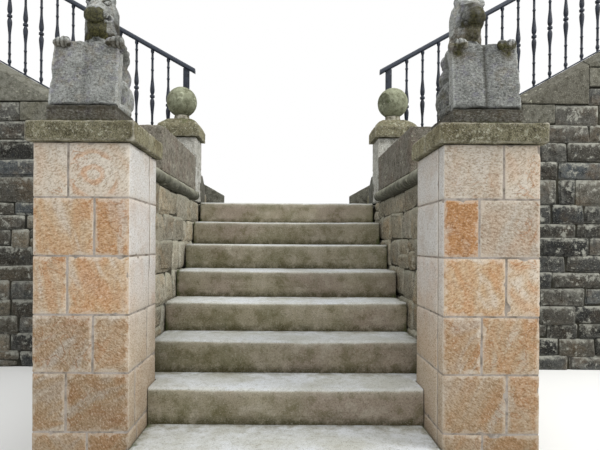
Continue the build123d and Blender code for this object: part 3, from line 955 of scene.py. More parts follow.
def worn_block(low, high, front_radius, spacing, seed, wear, narrow_before=None, narrow_to=None):
    """A worn step whose front faces -Y: dished on top, with a chipped front arris, and a margin near it for
    the rubbed and painted highlight band.
    """
    size = high - low
    shape = block(low, high)
    nosing = [
        edge for edge in shape.edges
        if all(abs(vert.co.y - low.y) < 1e-5 and abs(vert.co.z - high.z) < 1e-5 for vert in edge.verts)
    ]
    round_edges(shape, nosing, front_radius, segments=5)
    ends = [
        edge for edge in shape.edges
        if len({round(vert.co.x, 5) for vert in edge.verts}) == 1
    ]
    round_edges(shape, ends, offset=0.005)
    net(shape, size, spacing, front_radius + 0.006)
    shape.normal_update()
    layer = tone_layer(shape)
    shift = Vector((seed * 3.7, seed * 9.1, seed * 1.9))
    light = step_lights[seed % len(step_lights)]
    centre = (low.x + high.x) / 2
    half = size.x / 2
    for vert in shape.verts:
        across = (vert.co.x - centre) / half
        behind = (vert.co.y - low.y) / size.y
        from_nosing = math.hypot(vert.co.y - low.y, vert.co.z - high.z)
        from_end = half - abs(vert.co.x - centre)
        from_top = high.z - vert.co.z
        dirt = clamp((behind - 0.45) / 0.5)
        # How near a point is to the nosing, for the chips, the rubbed wear and the painted highlight
        margin = fade(from_nosing, rubbed_and_highlight_reach)
        foot = fade(vert.co.z - low.z, stain_height) if vert.normal.z < 0.5 else 0.0
        edge = fade(from_end, end_stain_width)
        on_top = from_top < tread_depth
        back_joint = fade(high.y - vert.co.y, back_damp_width) if on_top else 0.0
        damp = min(edge * 0.9 + foot * 0.35 + back_joint * 0.4, 1.0)
        back_line = fade(high.y - vert.co.y, back_dirt_width) if on_top else 0.0
        soiled = max(dirt * 0.8, edge, back_line) if on_top else foot
        vert[layer] = (light, soiled, margin, damp)
        rubbed = math.exp(-(across / 0.62) ** 4) * math.exp(-(vert.co.y - low.y) / (size.y * 0.45))
        hollow = wear * rubbed * fade(from_top, hollow_depth)
        place = vert.co / 0.11 + shift
        wave = 0.0016 * noise.noise(place) + 0.0008 * noise.noise(place * 3.3)
        chip = chipped(place * 2.1, 0.34) * margin * chip_depth
        vert.co -= vert.normal * (max(wave, 0.0) + chip)
        vert.co.z -= hollow
        if narrow_before is not None and vert.co.y < narrow_before:
            vert.co.x = clamp(vert.co.x, -narrow_to, narrow_to)
    keep_within(shape, low, high)
    return shape


for number in range(1, step_count + 1):
    low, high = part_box(f"step_{number}")
    clear = Vector((joint, 0, 0))
    narrow = (pier_high.y + 0.001, pier_low.x - joint) if number == 2 else (None, None)
    dished = 0.001 if number == step_count else dishing
    step = worn_block(low + clear, high - clear, nosing_radius, step_spacing, number, dished, *narrow)
    finish_piece(f"worn_step_{number}", step, "step", (f"step_{number}",))

# Landing of square paving stones
landing_shape = new_shape()
join(landing_shape, mortar_block(landing_low, landing_high - up * landing_bed))
paving_count = (4, 3)
landing_size = landing_high - landing_low
paving_size = Vector((landing_size.x / paving_count[0], landing_size.y / paving_count[1], 0))
for column in range(paving_count[0]):
    for row in range(paving_count[1]):
        low = landing_low + Vector((column * paving_size.x, row * paving_size.y, 0))
        high = low + paving_size
        low = Vector((low.x + joint / 2, low.y + joint / 2, landing_low.z + clearance))
        high = Vector((high.x - joint / 2, high.y - joint / 2, landing_high.z))
        slab = box_stone(low, high, arris=0.006, spacing=0.045)
        light = (column * 3 + row * 5) % 7 / 6
        tone_points(slab, low, high, light, hue=0.35, margin_width=0.05, damp=0.1)
        roughen(slab, depth=0.0015, size=0.09, seed=column * 7 + row, inward=True)
        join(landing_shape, slab)
finish_piece("landing_paving", landing_shape, "step", ("landing",))


# Front piers

bed_heights = (0.0, 0.228, 0.470, 0.707, 0.948, 1.187, pier_high.z)
pointing_depth = 0.0031
half_bed = 0.0012
outer_joints = (0.27, 0.16)

# From the foot up: where the front joint is, as a share of the width from the
# inner side; where the inner side's joint is, from the front; and the hue and
# lightness of the inner and the outer stone.
pier_courses = {
    "right": (
        (0.41, 0.080, 0.35, 0.36, 0.60, 0.30),
        (0.66, 0.080, 0.42, 0.35, 0.35, 0.45),
        (0.40, 0.080, 0.62, 0.38, 0.50, 0.46),
        (0.65, 0.080, 0.50, 0.60, 0.30, 0.66),
        (0.37, 0.080, 1.00, 0.45, 0.12, 0.42),
        (0.62, 0.080, 0.08, 0.49, 0.10, 0.62),
    ),
    "left": (
        (0.43, 0.120, 0.55, 0.24, 0.50, 0.30),
        (0.65, 0.094, 0.50, 0.22, 0.45, 0.28),
        (0.375, 0.272, 0.40, 0.36, 0.42, 0.28),
        (0.64, 0.300, 0.58, 0.58, 0.35, 0.52),
        (0.365, 0.310, 0.75, 0.52, 0.50, 0.54),
        (0.635, 0.300, 0.05, 0.65, 0.06, 0.60),
    ),
}


def pier_stone(low, high, hue, light, seed, damp=0.0):
    """An ashlar of the front pier, rough inside its drawn margins."""
    margin_width = 0.026
    wave_depth = 0.0010
    peck_depth = 0.0010
    boss = 0.0020
    lowered = 0.0024
    wander = 0.0009
    stone = box_stone(low, high, arris=0.0045, spacing=0.014, segments=2)
    tone_points(stone, low, high, light, hue, margin_width, damp)
    layer = tone_layer(stone)
    stone.normal_update()
    shift = Vector((seed * 5.3, seed * 2.9, seed * 7.7))
    for vert in stone.verts:
        inner = vert[layer][2]
        place = vert.co / 0.030 + shift
        pecks = noise.noise(place) + 0.6 * noise.noise(place * 2.3)
        broad = noise.noise(vert.co / 0.12 + shift)
        push = peck_depth * inner * pecks + wave_depth * broad + boss * inner - lowered
        chip = chipped(vert.co / 0.045 + shift, 0.40) * (1.0 - inner) * chip_depth
        vert.co += vert.normal * (push - chip)
        vert.co += noise.noise_vector(vert.co / 0.06 + shift) * wander
    keep_within(stone, pier_low, pier_high)
    return stone


def beside_joint(place, side, half_joint):
    """A place moved out of a joint, unless it is the side of the pier."""
    return place if place == side else place + half_joint


def front_pier(side):
    """A pier of six courses, two stones wide and two stones deep, and the pointing behind them."""
    shape = new_shape()
    core = new_shape()
    inset = Vector((pointing_depth, pointing_depth, 0.0))
    join(core, mortar_block(pier_low + inset, pier_high - inset))
    width = pier_high.x - pier_low.x
    first_seed = {"right": 0, "left": 50}[side]
    for number, course in enumerate(pier_courses[side]):
        share, side_joint, inner_hue, inner_light, outer_hue, outer_light = course
        foot = bed_heights[number] + (half_bed if number else 0)
        head = bed_heights[number + 1] - (half_bed if number + 1 < len(pier_courses[side]) else 0)
        split = pier_low.x + share * width
        rear_split = pier_low.x + (1 - share) * width
        near = pier_low.y + side_joint
        far = pier_low.y + outer_joints[number % 2]
        damp = 0.35 if number == 0 else 0.0
        blocks = [
            (pier_low.x, split, pier_low.y, near, inner_hue, inner_light),
            (split, pier_high.x, pier_low.y, far, outer_hue, outer_light),
            (pier_low.x, rear_split, near, pier_high.y, (inner_hue + 0.3) % 1.0, outer_light),
            (rear_split, pier_high.x, far, pier_high.y, (outer_hue + 0.4) % 1.0, inner_light),
        ]
        for place, (x0, x1, y0, y1, hue, light) in enumerate(blocks):
            low = Vector((
                beside_joint(x0, pier_low.x, joint / 2), beside_joint(y0, pier_low.y, joint / 2), foot
            ))
            high = Vector((
                beside_joint(x1, pier_high.x, -joint / 2), beside_joint(y1, pier_high.y, -joint / 2), head
            ))
            seed = first_seed + number * 4 + place
            join(shape, pier_stone(low, high, hue, light, seed, damp))
    return shape, core


def weathered_slab(
    low, high, arris, spacing, depth, seed, light=0.5, hue=0.5, damp=0.0, margin_width=0.04, size=0.05,
):
    """A slab with soft arrises and a weathered surface, inside its box."""
    slab = box_stone(low, high, arris, spacing, segments=3)
    tone_points(slab, low, high, light, hue, margin_width, damp)
    roughen(slab, depth, size, seed, inward=True)
    keep_within(slab, low, high)
    return slab


def pier_cap(side):
    """The cap of a front pier: two slabs, front and rear."""
    shape = new_shape()
    seed = {"right": 11, "left": 23}[side]
    arris = 0.011
    spacing = 0.012
    depth = 0.0030
    joint_shift = 0.006
    middle = (cap_low.y + cap_high.y) / 2 - joint_shift
    front_high = Vector((cap_high.x, middle - joint / 2, cap_high.z))
    rear_low = Vector((cap_low.x, middle + joint / 2, cap_low.z))
    join(shape, weathered_slab(cap_low, front_high, arris, spacing, depth, seed, light=0.55, hue=0.4))
    join(shape, weathered_slab(rear_low, cap_high, arris, spacing, depth, seed + 1, light=0.7, hue=0.3))
    return shape


for side in sides:
    stones, core = front_pier(side)
    finish_side(side, "pier_ashlar", stones, "pier", "front_pier")
    finish_side(side, "pier_pointing", core, "pointing")
    finish_side(side, "pier_cap_slabs", pier_cap(side), "cap", "pier_cap")


# Cheek walls, string course and parapet

cheek_courses = (0.14, 0.19)
cheek_stones = {
    "lengths": (0.16, 0.36), "depth": 0.075, "gap": 0.002, "set_back": 0.006, "rounding": (0.020, 0.040),
}
cheek_mortar_inset = 0.020


def cheek_wall(draw):
    """Rubble stones on both faces of the wall beside the flight."""
    shape = new_shape()
    core = new_shape()
    inset = Vector((cheek_mortar_inset, clearance, 0))
    join(core, mortar_block(cheek_low + inset, cheek_high - inset))
    inner = (Vector((cheek_low.x, cheek_low.y, 0)), Vector((0, 1, 0)), Vector((1, 0, 0)))
    outer = (Vector((cheek_high.x, cheek_low.y, 0)), Vector((0, 1, 0)), Vector((-1, 0, 0)))
    length = cheek_high.y - cheek_low.y
    for face in (inner, outer):
        for foot, head in courses_between(cheek_low.z, cheek_high.z, draw, *cheek_courses):
            lay_course(shape, face, clearance, length - clearance, foot, head, draw, **cheek_stones)
    return shape, core


def string_course(draw):
    """Level course with a rolled edge along the flight, in stones about half a metre long."""
    shape = new_shape()
    height = course_high.z - course_low.z
    radius = height / 2
    roll_overlap = 0.012
    count = 3
    length = (course_high.y - course_low.y) / count
    for number in range(count):
        start = course_low.y + number * length + (joint / 2 if number else 0)
        stop = course_low.y + (number + 1) * length - joint / 2
        low = Vector((half_clear + roll_overlap, start, course_low.z))
        high = Vector((course_high.x, stop, course_high.z))
        slab = weathered_slab(
            low, high, arris=0.008, spacing=0.022, depth=0.002, seed=number + 31,
            light=draw.random(), hue=draw.random(), damp=0.3,
        )
        join(shape, slab)
        roll = bmesh.new()
        turn = Matrix.Rotation(math.radians(90), 4, "X")
        place = Matrix.Translation((course_low.x + radius, (start + stop) / 2, course_low.z + radius))
        bmesh.ops.create_cone(
            roll, cap_ends=True, segments=28, radius1=radius, radius2=radius, depth=stop - start,
            matrix=place @ turn,
        )
        rims = [edge for edge in roll.edges if any(len(face.verts) > 4 for face in edge.link_faces)]
        round_edges(roll, rims, offset=0.007, segments=3)
        runs = [edge for edge in roll.edges if edge.calc_length() > (stop - start) * 0.8]
        cut_edges(roll, runs, cuts=24)
        tone_points(roll, low, high, light=0.5, hue=0.5, margin_width=0.04, damp=0.1)
        layer = tone_layer(roll)
        # The roll is lighter towards its top and darker below: painted light from above and painted shade
        # under the roll; it is damper towards its foot
        for vert in roll.verts:
            upper = (vert.co.z - course_low.z) / height
            patch = 0.45 * noise.noise(vert.co / 0.07)
            vert[layer] = (clamp(1.15 * upper - 0.10 + patch), 0.5, 1.0, 0.55 * (1 - upper))
        roughen(roll, depth=0.0028, size=0.05, seed=number + 41, inward=True)
        join(shape, roll)
    return shape


def parapet(draw):
    """Upstand slab hollowed on top like a trough, with its rim worn."""
    rim_width = 0.052
    trough_depth = 0.07
    shape = new_shape()
    low = parapet_low
    high = parapet_high
    trough = block(low, high)
    trough.normal_update()
    top = max(trough.faces, key=lambda face: face.normal.z)
    bmesh.ops.inset_region(trough, faces=[top], thickness=rim_width, depth=0)
    bmesh.ops.translate(trough, vec=(0, 0, -0.001), verts=top.verts)
    sunk = bmesh.ops.extrude_discrete_faces(trough, faces=[top])["faces"][0]
    bmesh.ops.translate(trough, vec=(0, 0, -trough_depth), verts=sunk.verts)
    bmesh.ops.remove_doubles(trough, verts=trough.verts, dist=1e-5)
    round_edges(trough, trough.edges[:], offset=0.010)
    cut_wide_faces(trough)
    for cuts in (6, 3):
        cut_long_edges(trough, limit=0.03, cuts=cuts)
    tone_points(trough, low, high, draw.random(), draw.random(), margin_width=0.05, damp=0.3)
    roughen(trough, depth=0.0045, size=0.06, seed=draw.randint(1, 90), inward=True)
    keep_within(trough, low, high)
    join(shape, trough)
    return shape


for side in sides:
    draw = random.Random({"right": 17, "left": 71}[side])
    stones, core = cheek_wall(draw)
    if side == "right":
        shift_tones(stones, light_share=0.60, light_rise=0.0, hue_rise=0.2)
    finish_side(side, "cheek_stones", stones, "rubble", "cheek_wall")
    finish_side(side, "cheek_mortar", core, "mortar")
    finish_side(side, "string_stones", string_course(draw), "string", "string_course")
    finish_side(side, "parapet_trough", parapet(draw), "parapet", "parapet")


# Rear piers with cap and ball

rear_bed = 1.597


def rear_pier():
    """Small pier of two courses."""
    shape = new_shape()
    inset = Vector((0.005, 0.005, 0))
    join(shape, mortar_block(rear_low + inset, rear_high - inset))
    for number, (foot, head) in enumerate(((rear_low.z, rear_bed), (rear_bed, rear_high.z))):
        low = Vector((rear_low.x, rear_low.y, foot + joint / 2))
        high = Vector((rear_high.x, rear_high.y, head - joint / 2))
        stone = weathered_slab(
            low, high, arris=0.010, spacing=0.014, depth=0.0028, seed=number + 61,
            light=0.4 + number * 0.3, hue=0.3 + number * 0.3,
        )
        join(shape, stone)
    return shape


def rear_cap(seed):
    """Cap stone: a slab that rounds over to the neck under the ball."""
    shape = new_shape()
    size = rear_cap_high - rear_cap_low
    slab_height = 0.079
    slope_height = 0.080
    neck_radius = 0.062
    centre = (rear_cap_low + rear_cap_high) / 2
    stone = bmesh.new()
    bmesh.ops.create_cube(stone, size=1)
    bmesh.ops.scale(stone, vec=(size.x, size.y, slab_height), verts=stone.verts)
    bmesh.ops.translate(
        stone, vec=(centre.x, centre.y, rear_cap_low.z + slab_height / 2), verts=stone.verts
    )
    stone.normal_update()
    for part, width in ((0.30, 0.93), (0.32, 0.78), (0.24, 0.62), (0.14, 0.46)):
        top = max(stone.faces, key=lambda face: face.calc_center_median().z + face.normal.z)
        _, verts = push_out(stone, top)
        bmesh.ops.delete(stone, geom=[top], context="FACES_ONLY")
        level = verts[0].co.z + slope_height * part
        for vert in verts:
            vert.co.x = centre.x + math.copysign(size.x / 2 * width, vert.co.x - centre.x)
            vert.co.y = centre.y + math.copysign(size.y / 2 * width, vert.co.y - centre.y)
            vert.co.z = level
        stone.normal_update()
    round_edges(stone, [edge for edge in stone.edges if edge.calc_face_angle(0) > 0.35], offset=0.007)
    for cuts in (5, 2):
        cut_long_edges(stone, limit=0.022, cuts=cuts)
    smoothed(stone, factor=0.4)
    tone_points(stone, rear_cap_low, rear_cap_high, light=0.70, hue=0.3, margin_width=0.05, damp=0.05)
    roughen(stone, depth=0.0045, size=0.05, seed=seed, inward=True)
    join(shape, stone)
    neck = bmesh.new()
    neck_height = size.z - slab_height - slope_height + 0.02
    place = Matrix.Translation((centre.x, centre.y, rear_cap_high.z - neck_height / 2))
    bmesh.ops.create_cone(
        neck, cap_ends=True, segments=32, radius1=neck_radius + 0.006, radius2=neck_radius - 0.006,
        depth=neck_height, matrix=place,
    )
    tone_points(neck, rear_cap_low, rear_cap_high, light=0.45, hue=0.5, margin_width=0.05, damp=0.2)
    join(shape, neck)
    keep_within(shape, rear_cap_low, rear_cap_high)
    return shape


def ball(seed, broken):
    """Weathered stone ball, with one side split away on the broken one."""
    radius = (ball_high.x - ball_low.x) / 2
    centre = (ball_low + ball_high) / 2
    centre.z = ball_high.z - radius
    shape = bmesh.new()
    bmesh.ops.create_icosphere(shape, subdivisions=6, radius=radius - 0.0015)
    layer = tone_layer(shape)
    split = Vector((-0.86, -0.42, -0.12)).normalized()
    for vert in shape.verts:
        place = vert.co / 0.05 + Vector((seed, seed * 2, seed * 3))
        vert.co *= 1.0 - 0.012 * (0.6 + noise.noise(place) * 0.6 + noise.noise(place * 3.0) * 0.4)
        damage = 0.0
        reach = vert.co.dot(split)
        limit = radius * 0.74 + 0.006 * noise.noise(place * 1.7)
        if broken and reach > limit:
            vert.co -= split * (reach - limit)
            damage = 0.8
        vert[layer] = (0.55 - damage * 0.6, 0.4, 1.0, 0.25 + damage * 0.5)
    bmesh.ops.translate(shape, vec=centre, verts=shape.verts)
    keep_within(shape, ball_low, ball_high)
    return shape


for side in sides:
    seed = {"right": 3, "left": 5}[side]
    finish_side(side, "rear_pier_stones", rear_pier(), "rear", "rear_pier")
    finish_side(side, "rear_cap_stone", rear_cap(seed), "cap", "rear_cap")
    finish_side(side, "stone_ball", ball(seed, side == "right"), "ball", "ball")


# Front walls, coping and the masonry of the side flights

front_courses = (0.11, 0.16)
side_courses = (0.12, 0.17)
toe_block_depth = 0.12
toe_block_set_back = 0.003
toe_block_room = 0.25
arris_angle = 0.3


def coping_toes():
    """Where each coping stone starts, with the level of its bed."""
    toes = []
    toe = landing_reach - coping_toe_lead
    while toe < last_riser:
        toes.append((toe, coping_edge(toe) - coping_toe_thickness))
        toe += coping_stone_length
    return toes


def front_wall(draw):
    """Dark rubble in courses, with a paler ashlar under each stone of the coping."""
    stones = new_shape()
    core = new_shape()
    blocks = new_shape()
    face = (Vector((0, wall_low.y, 0)), Vector((1, 0, 0)), Vector((0, 1, 0)))
    for foot, head in courses_between(0, landing_level, draw, *front_courses):
        lay_course(stones, face, cheek_outer + clearance, side_end, foot, head, draw)
    bed = landing_level
    toes = coping_toes()
    for toe, level in toes:
        start = max(toe, rear_high.x + clearance)
        middle = level - toe_block_height
        if level - bed > toe_block_room:
            stop = toe + toe_block_length
            low, high = wall_box(
                face, toe, stop, toe_block_depth, middle + joint, level - joint, toe_block_set_back
            )
            toe_block = weathered_slab(
                low, high, arris=0.008, spacing=0.016, depth=0.0025, seed=int(toe * 10),
                light=draw.random(), hue=0.5,
            )
            join(blocks, toe_block)
            lay_course(stones, face, start, side_end, bed, middle, draw)
            lay_course(stones, face, stop, side_end, middle, level, draw)
        else:
            lay_course(stones, face, start, side_end, bed, level, draw)
        bed = level
    edges = [(half_clear, landing_level)] + toes
    for (x, level), following in zip(edges, toes + [(side_end, None)]):
        stop = following[0]
        if stop == side_end:
            stop -= rubble_mortar_inset
        low = Vector((max(x, cheek_outer), wall_low.y + rubble_mortar_inset, 0))
        high = Vector((stop, wall_high.y - clearance, level - clearance))
        join(core, mortar_block(low, high, hidden_spacing))
    return stones, core, blocks


def raking_stone(start, stop, bed, seed, light, hue):
    """A coping stone: level bed, raking top with a saddle, upright ends."""
    shape = bmesh.new()
    depth = wall_high.y - wall_low.y
    crest = coping_ridge_width / 2
    section = [
        (0, bed), (0, coping_edge(start)), (depth / 2 - crest, ridge_line(start)),
        (depth / 2 + crest, ridge_line(start)), (depth, coping_edge(start)), (depth, bed),
    ]
    ring = [shape.verts.new((start, wall_low.y + y, z)) for y, z in section]
    face = shape.faces.new(ring)
    _, far = push_out(shape, face)
    bmesh.ops.translate(shape, vec=(stop - start, 0, 0), verts=far)
    bmesh.ops.recalc_face_normals(shape, faces=shape.faces)
    least = (stop - start) * 0.9
    runs = [edge for edge in shape.edges if abs(edge.verts[0].co.x - edge.verts[1].co.x) > least]
    cut_edges(shape, runs, int((stop - start) / 0.03))
    for vert in shape.verts:
        if vert.co.z > bed + 1e-5:
            vert.co.z += coping_edge(vert.co.x) - coping_edge(start)
    shape.normal_update()
    sharp = [edge for edge in shape.edges if edge.calc_face_angle(0) > arris_angle]
    round_edges(shape, sharp, offset=0.006)
    for cuts in (3, 2):
        cut_long_edges(shape, limit=0.035, cuts=cuts)
    cut_wide_faces(shape)
    layer = tone_layer(shape)
    for vert in shape.verts:
        damp = fade(vert.co.z - bed, 0.05) * 0.4
        vert[layer] = (light, hue, 0.5, damp)
    roughen(shape, depth=0.0026, size=0.06, seed=seed, inward=True)
    return shape


def raking_coping(draw):
    """All the stones of one coping."""
    shape = new_shape()
    toes = coping_toes()
    first = (half_clear, landing_level)
    starts = [first] + toes
    stops = [x for x, bed in toes] + [last_riser, side_end]
    starts.append((last_riser, toes[-1][1]))
    for number, ((start, bed), stop) in enumerate(zip(starts, stops)):
        stone = raking_stone(
            start + (joint / 2 if number else 0), stop - (joint / 2 if stop < side_end else 0),
            bed + 0.001, number + 81, draw.random(), draw.random(),
        )
        join(shape, stone)
    return shape


def side_mass(draw):
    """Stones on the end and the back of a side flight, and the mass behind them."""
    stones = new_shape()
    core = new_shape()
    end = (Vector((side_end, 0, 0)), Vector((0, 1, 0)), Vector((-1, 0, 0)))
    rear = (Vector((landing_reach, back, 0)), Vector((1, 0, 0)), Vector((0, -1, 0)))
    lower = courses_between(0, landing_level, draw, *side_courses)
    for number, (foot, head) in enumerate(lower):
        turn = rubble_depth if number % 2 else 0.0
        lay_course(stones, end, clearance + turn, back - clearance - turn, foot, head, draw)
        stop = side_end - landing_reach - (rubble_depth - turn)
        lay_course(stones, rear, clearance, stop, foot, head, draw)
    for foot, head in courses_between(landing_level, core_high.z, draw, *side_courses):
        lay_course(stones, end, clearance, string_front - clearance, foot, head, draw)
    lay_course(stones, end, clearance, wall_high.y - clearance, core_high.z, wall_high.z, draw)
    inset = rubble_mortar_inset
    low = Vector((landing_reach, wall_high.y, 0))
    high = Vector((side_end - inset, back - inset, landing_level - clearance))
    join(core, mortar_block(low, high, hidden_spacing))
    for number in range(1, side_step_count):
        start = landing_reach + side_going * number
        foot = landing_level + rise * (number - 1)
        low = Vector((start, wall_high.y, foot - clearance))
        high = Vector((side_end - inset, string_front, foot + rise - clearance))
        join(core, mortar_block(low, high, hidden_spacing))
    return stones, core


def side_flight(draw):
    """Worn steps of a side flight, and its string of raking stones."""
    steps = new_shape()
    for number in range(1, side_step_count):
        start = landing_reach + side_going * (number - 1)
        foot = landing_level + rise * (number - 1)
        width = string_front - wall_high.y
        low = Vector((-width / 2, 0, foot))
        high = Vector((width / 2, side_going - 0.003, foot + rise))
        step = worn_block(low, high, side_nosing_radius, side_step_spacing, number + 20, dishing)
        quarter = Matrix.Rotation(math.radians(-90), 3, "Z")
        bmesh.ops.rotate(step, cent=(0, 0, 0), matrix=quarter, verts=step.verts)
        bmesh.ops.translate(step, vec=(start, (string_front + wall_high.y) / 2, 0), verts=step.verts)
        join(steps, step)
    top = new_shape()
    count = 2
    width = (string_front - wall_high.y) / count
    for number in range(count):
        low = Vector((last_riser + 0.001, wall_high.y + number * width + joint / 2, top_low.z))
        high = Vector((side_end, wall_high.y + (number + 1) * width - joint / 2, top_high.z))
        slab = weathered_slab(
            low, high, arris=0.009, spacing=0.03, depth=0.0020, seed=number + 71,
            light=draw.random(), hue=0.3, damp=0.1, margin_width=0.05, size=0.09,
        )
        join(top, slab)
    return steps, top


def wall_string(draw):
    """Upright stones along the back edge, cut to the rake on top."""
    shape = new_shape()
    count = 5
    length = (side_end - string_low.x) / count
    for number in range(count):
        x0 = string_low.x + number * length + (joint / 2 if number else 0)
        x1 = string_low.x + (number + 1) * length - (joint / 2 if number < count - 1 else 0)
        low = Vector((x0, string_low.y, string_low.z))
        high = Vector((x1, string_high.y, string_low.z + 0.2))
        stone = box_stone(low, high, arris=0.006, spacing=0.03, segments=2)
        for vert in stone.verts:
            share = (vert.co.z - low.z) / (high.z - low.z)
            vert.co.z = low.z + share * (nosing_line(vert.co.x) + string_above_nosings - low.z)
        light = draw.random()
        far = Vector((x1, string_high.y, string_high.z))
        tone_points(stone, low, far, light, draw.random(), margin_width=0.04, damp=0.15)
        roughen(stone, depth=0.0022, size=0.08, seed=number + 91, inward=True)
        keep_within(stone, low, string_high)
        join(shape, stone)
    return shape


for side in sides:
    draw = random.Random({"right": 102, "left": 205}[side])
    stones, core, blocks = front_wall(draw)
    if side == "left":
        shift_tones(blocks, light_share=0.5, light_rise=0.8, hue_rise=0.0)
    else:
        shift_tones(stones, light_share=0.62, light_rise=0.0, hue_rise=0.4)
    finish_side(side, "front_wall_stones", stones, "dark_rubble", "front_wall")
    finish_side(side, "front_wall_mortar", core, "dark_mortar")
    finish_side(side, "toe_blocks", blocks, "coping")
    coping = raking_coping(draw)
    shift_tones(coping, light_share=0.8, light_rise={"right": 0.0, "left": 0.3}[side], hue_rise=0.0)
    finish_side(side, "coping_stones", coping, "coping", "raking_coping")
    stones, core = side_mass(draw)
    finish_side(side, "side_stones", stones, "dark_rubble", "side_core")
    finish_side(side, "side_mortar", core, "dark_mortar")
    steps, top = side_flight(draw)
    finish_side(side, "worn_side_steps", steps, "side_step", "side_steps")
    finish_side(side, "top_slabs", top, "side_step", "upper_landing")
    finish_side(side, "string_wall_stones", wall_string(draw), "coping", "wall_string")

# The masonry under the landing and the central flight
draw = random.Random(404)
backing = new_shape()
backing_core = new_shape()
rear_face = (Vector((-landing_reach, back, 0)), Vector((1, 0, 0)), Vector((0, -1, 0)))
for foot, head in courses_between(0, landing_low.z, draw, *side_courses):
    lay_course(backing, rear_face, clearance, 2 * landing_reach - clearance, foot, head, draw)
low = Vector((-landing_reach, wall_high.y, 0))
high = Vector((landing_reach, back - 0.016, landing_low.z - 0.001))
join(backing_core, mortar_block(low, high, hidden_spacing))
for number in range(2, step_count + 1):
    start = (number - step_count) * going + step_lap
    wide = half_clear if start > pier_high.y else pier_low.x
    low = Vector((-wide + joint, start, rise * (number - 2)))
    high = Vector((wide - joint, wall_high.y, rise * (number - 1) - 0.004))
    join(backing_core, mortar_block(low, high, hidden_spacing))
finish_piece("landing_backing_stones", backing, "rubble", ("rubble_core",))
finish_piece("landing_backing_mortar", backing_core, "mortar")


# Carved beasts

book_width = 0.283
book_thickness = 0.068
book_lean = math.radians(9)
plinth_size = Vector((0.300, 0.330, 0.080))
book_foot_y = -plinth_size.y / 2 + 0.014
beast_place = Vector(((pier_low.x + pier_high.x) / 2, (pier_low.y + pier_high.y) / 2, cap_high.z))
left_beast_shift = 0.022
toe_spacing = 0.0185
head_y = 0.011
head_z = 0.530
muzzle_droop = math.radians(26)
voxel_size = 0.0042
beast_seeds = {"right": 9, "left": 4}

# The two beasts are carved and weathered a little differently. Outward is
# positive: the head, neck, book and paws are places across the plinth.
beast_looks = {
    "right": {
        "turn": math.radians(5), "head": -0.030, "neck": -0.036, "neck_radius": 0.068, "jaw": 0.084,
        "pad": 0.010, "eyes": 0.35, "paws": (-0.109, 0.100), "toe_length": 0.016, "plinth": 0.072,
        "book": 0.006, "book_height": 0.301, "splay": 0.024, "gutter": 0.013, "ripple": 1.0,
        "paw_light": 0.98, "leaf_edge_painted_light": 0.45, "page_light": 0.35, "haunch_light": 0.12,
        "hanging": 0.9, "olive": 0.45, "grime": 1.0, "brown": 0.8,
    },
    "left": {
        "turn": math.radians(-1.5), "head": -0.023, "neck": -0.021, "neck_radius": 0.0735, "jaw": 0.104,
        "pad": 0.018, "eyes": 1.0, "paws": (-0.127, 0.107), "toe_length": 0.007, "plinth": 0.080,
        "book": 0.003, "book_height": 0.293, "splay": 0.036, "gutter": 0.008, "ripple": 0.35,
        "paw_light": 0.72, "leaf_edge_painted_light": 1.0, "page_light": 0.47, "haunch_light": 1.0,
        "hanging": 0.25, "olive": 1.0, "grime": 0.32, "brown": 0.35,
    },
}


def head_axes(turn):
    """The head's outer side, muzzle and crown directions, as the columns of a matrix."""
    level = Vector((math.sin(turn), -math.cos(turn), 0))
    outer = Vector((math.cos(turn), math.sin(turn), 0))
    muzzle = level * math.cos(muzzle_droop) - up * math.sin(muzzle_droop)
    return Matrix((outer, muzzle, muzzle.cross(outer))).transposed()


def add_ball(shape, centre, radii, turn=None):
    """A rounded lump, as three radii about a centre."""
    matrix = Matrix.Translation(centre) @ (turn or Matrix.Identity(4)) @ Matrix.Diagonal((*radii, 1))
    bmesh.ops.create_uvsphere(shape, u_segments=28, v_segments=18, radius=1, matrix=matrix)


def add_limb(shape, start, end, start_radius, end_radius):
    """A tapered limb with round ends."""
    line = end - start
    turn = line.to_track_quat("Z", "Y").to_matrix().to_4x4()
    matrix = Matrix.Translation((start + end) / 2) @ turn
    bmesh.ops.create_cone(
        shape, cap_ends=True, segments=24, radius1=start_radius, radius2=end_radius, depth=line.length,
        matrix=matrix,
    )
    add_ball(shape, start, (start_radius,) * 3)
    add_ball(shape, end, (end_radius,) * 3)


def book_foot(look):
    """The middle of the lower front edge of a beast's book."""
    return Vector((look["book"], book_foot_y, look["plinth"]))


def book_point(look, across, height, before):
    """A place on the leaning book: across the plinth, up the book and in front of its face."""
    lean = Matrix.Rotation(-book_lean, 3, "X")
    return book_foot(look) + lean @ Vector((across - look["book"], -before, height))


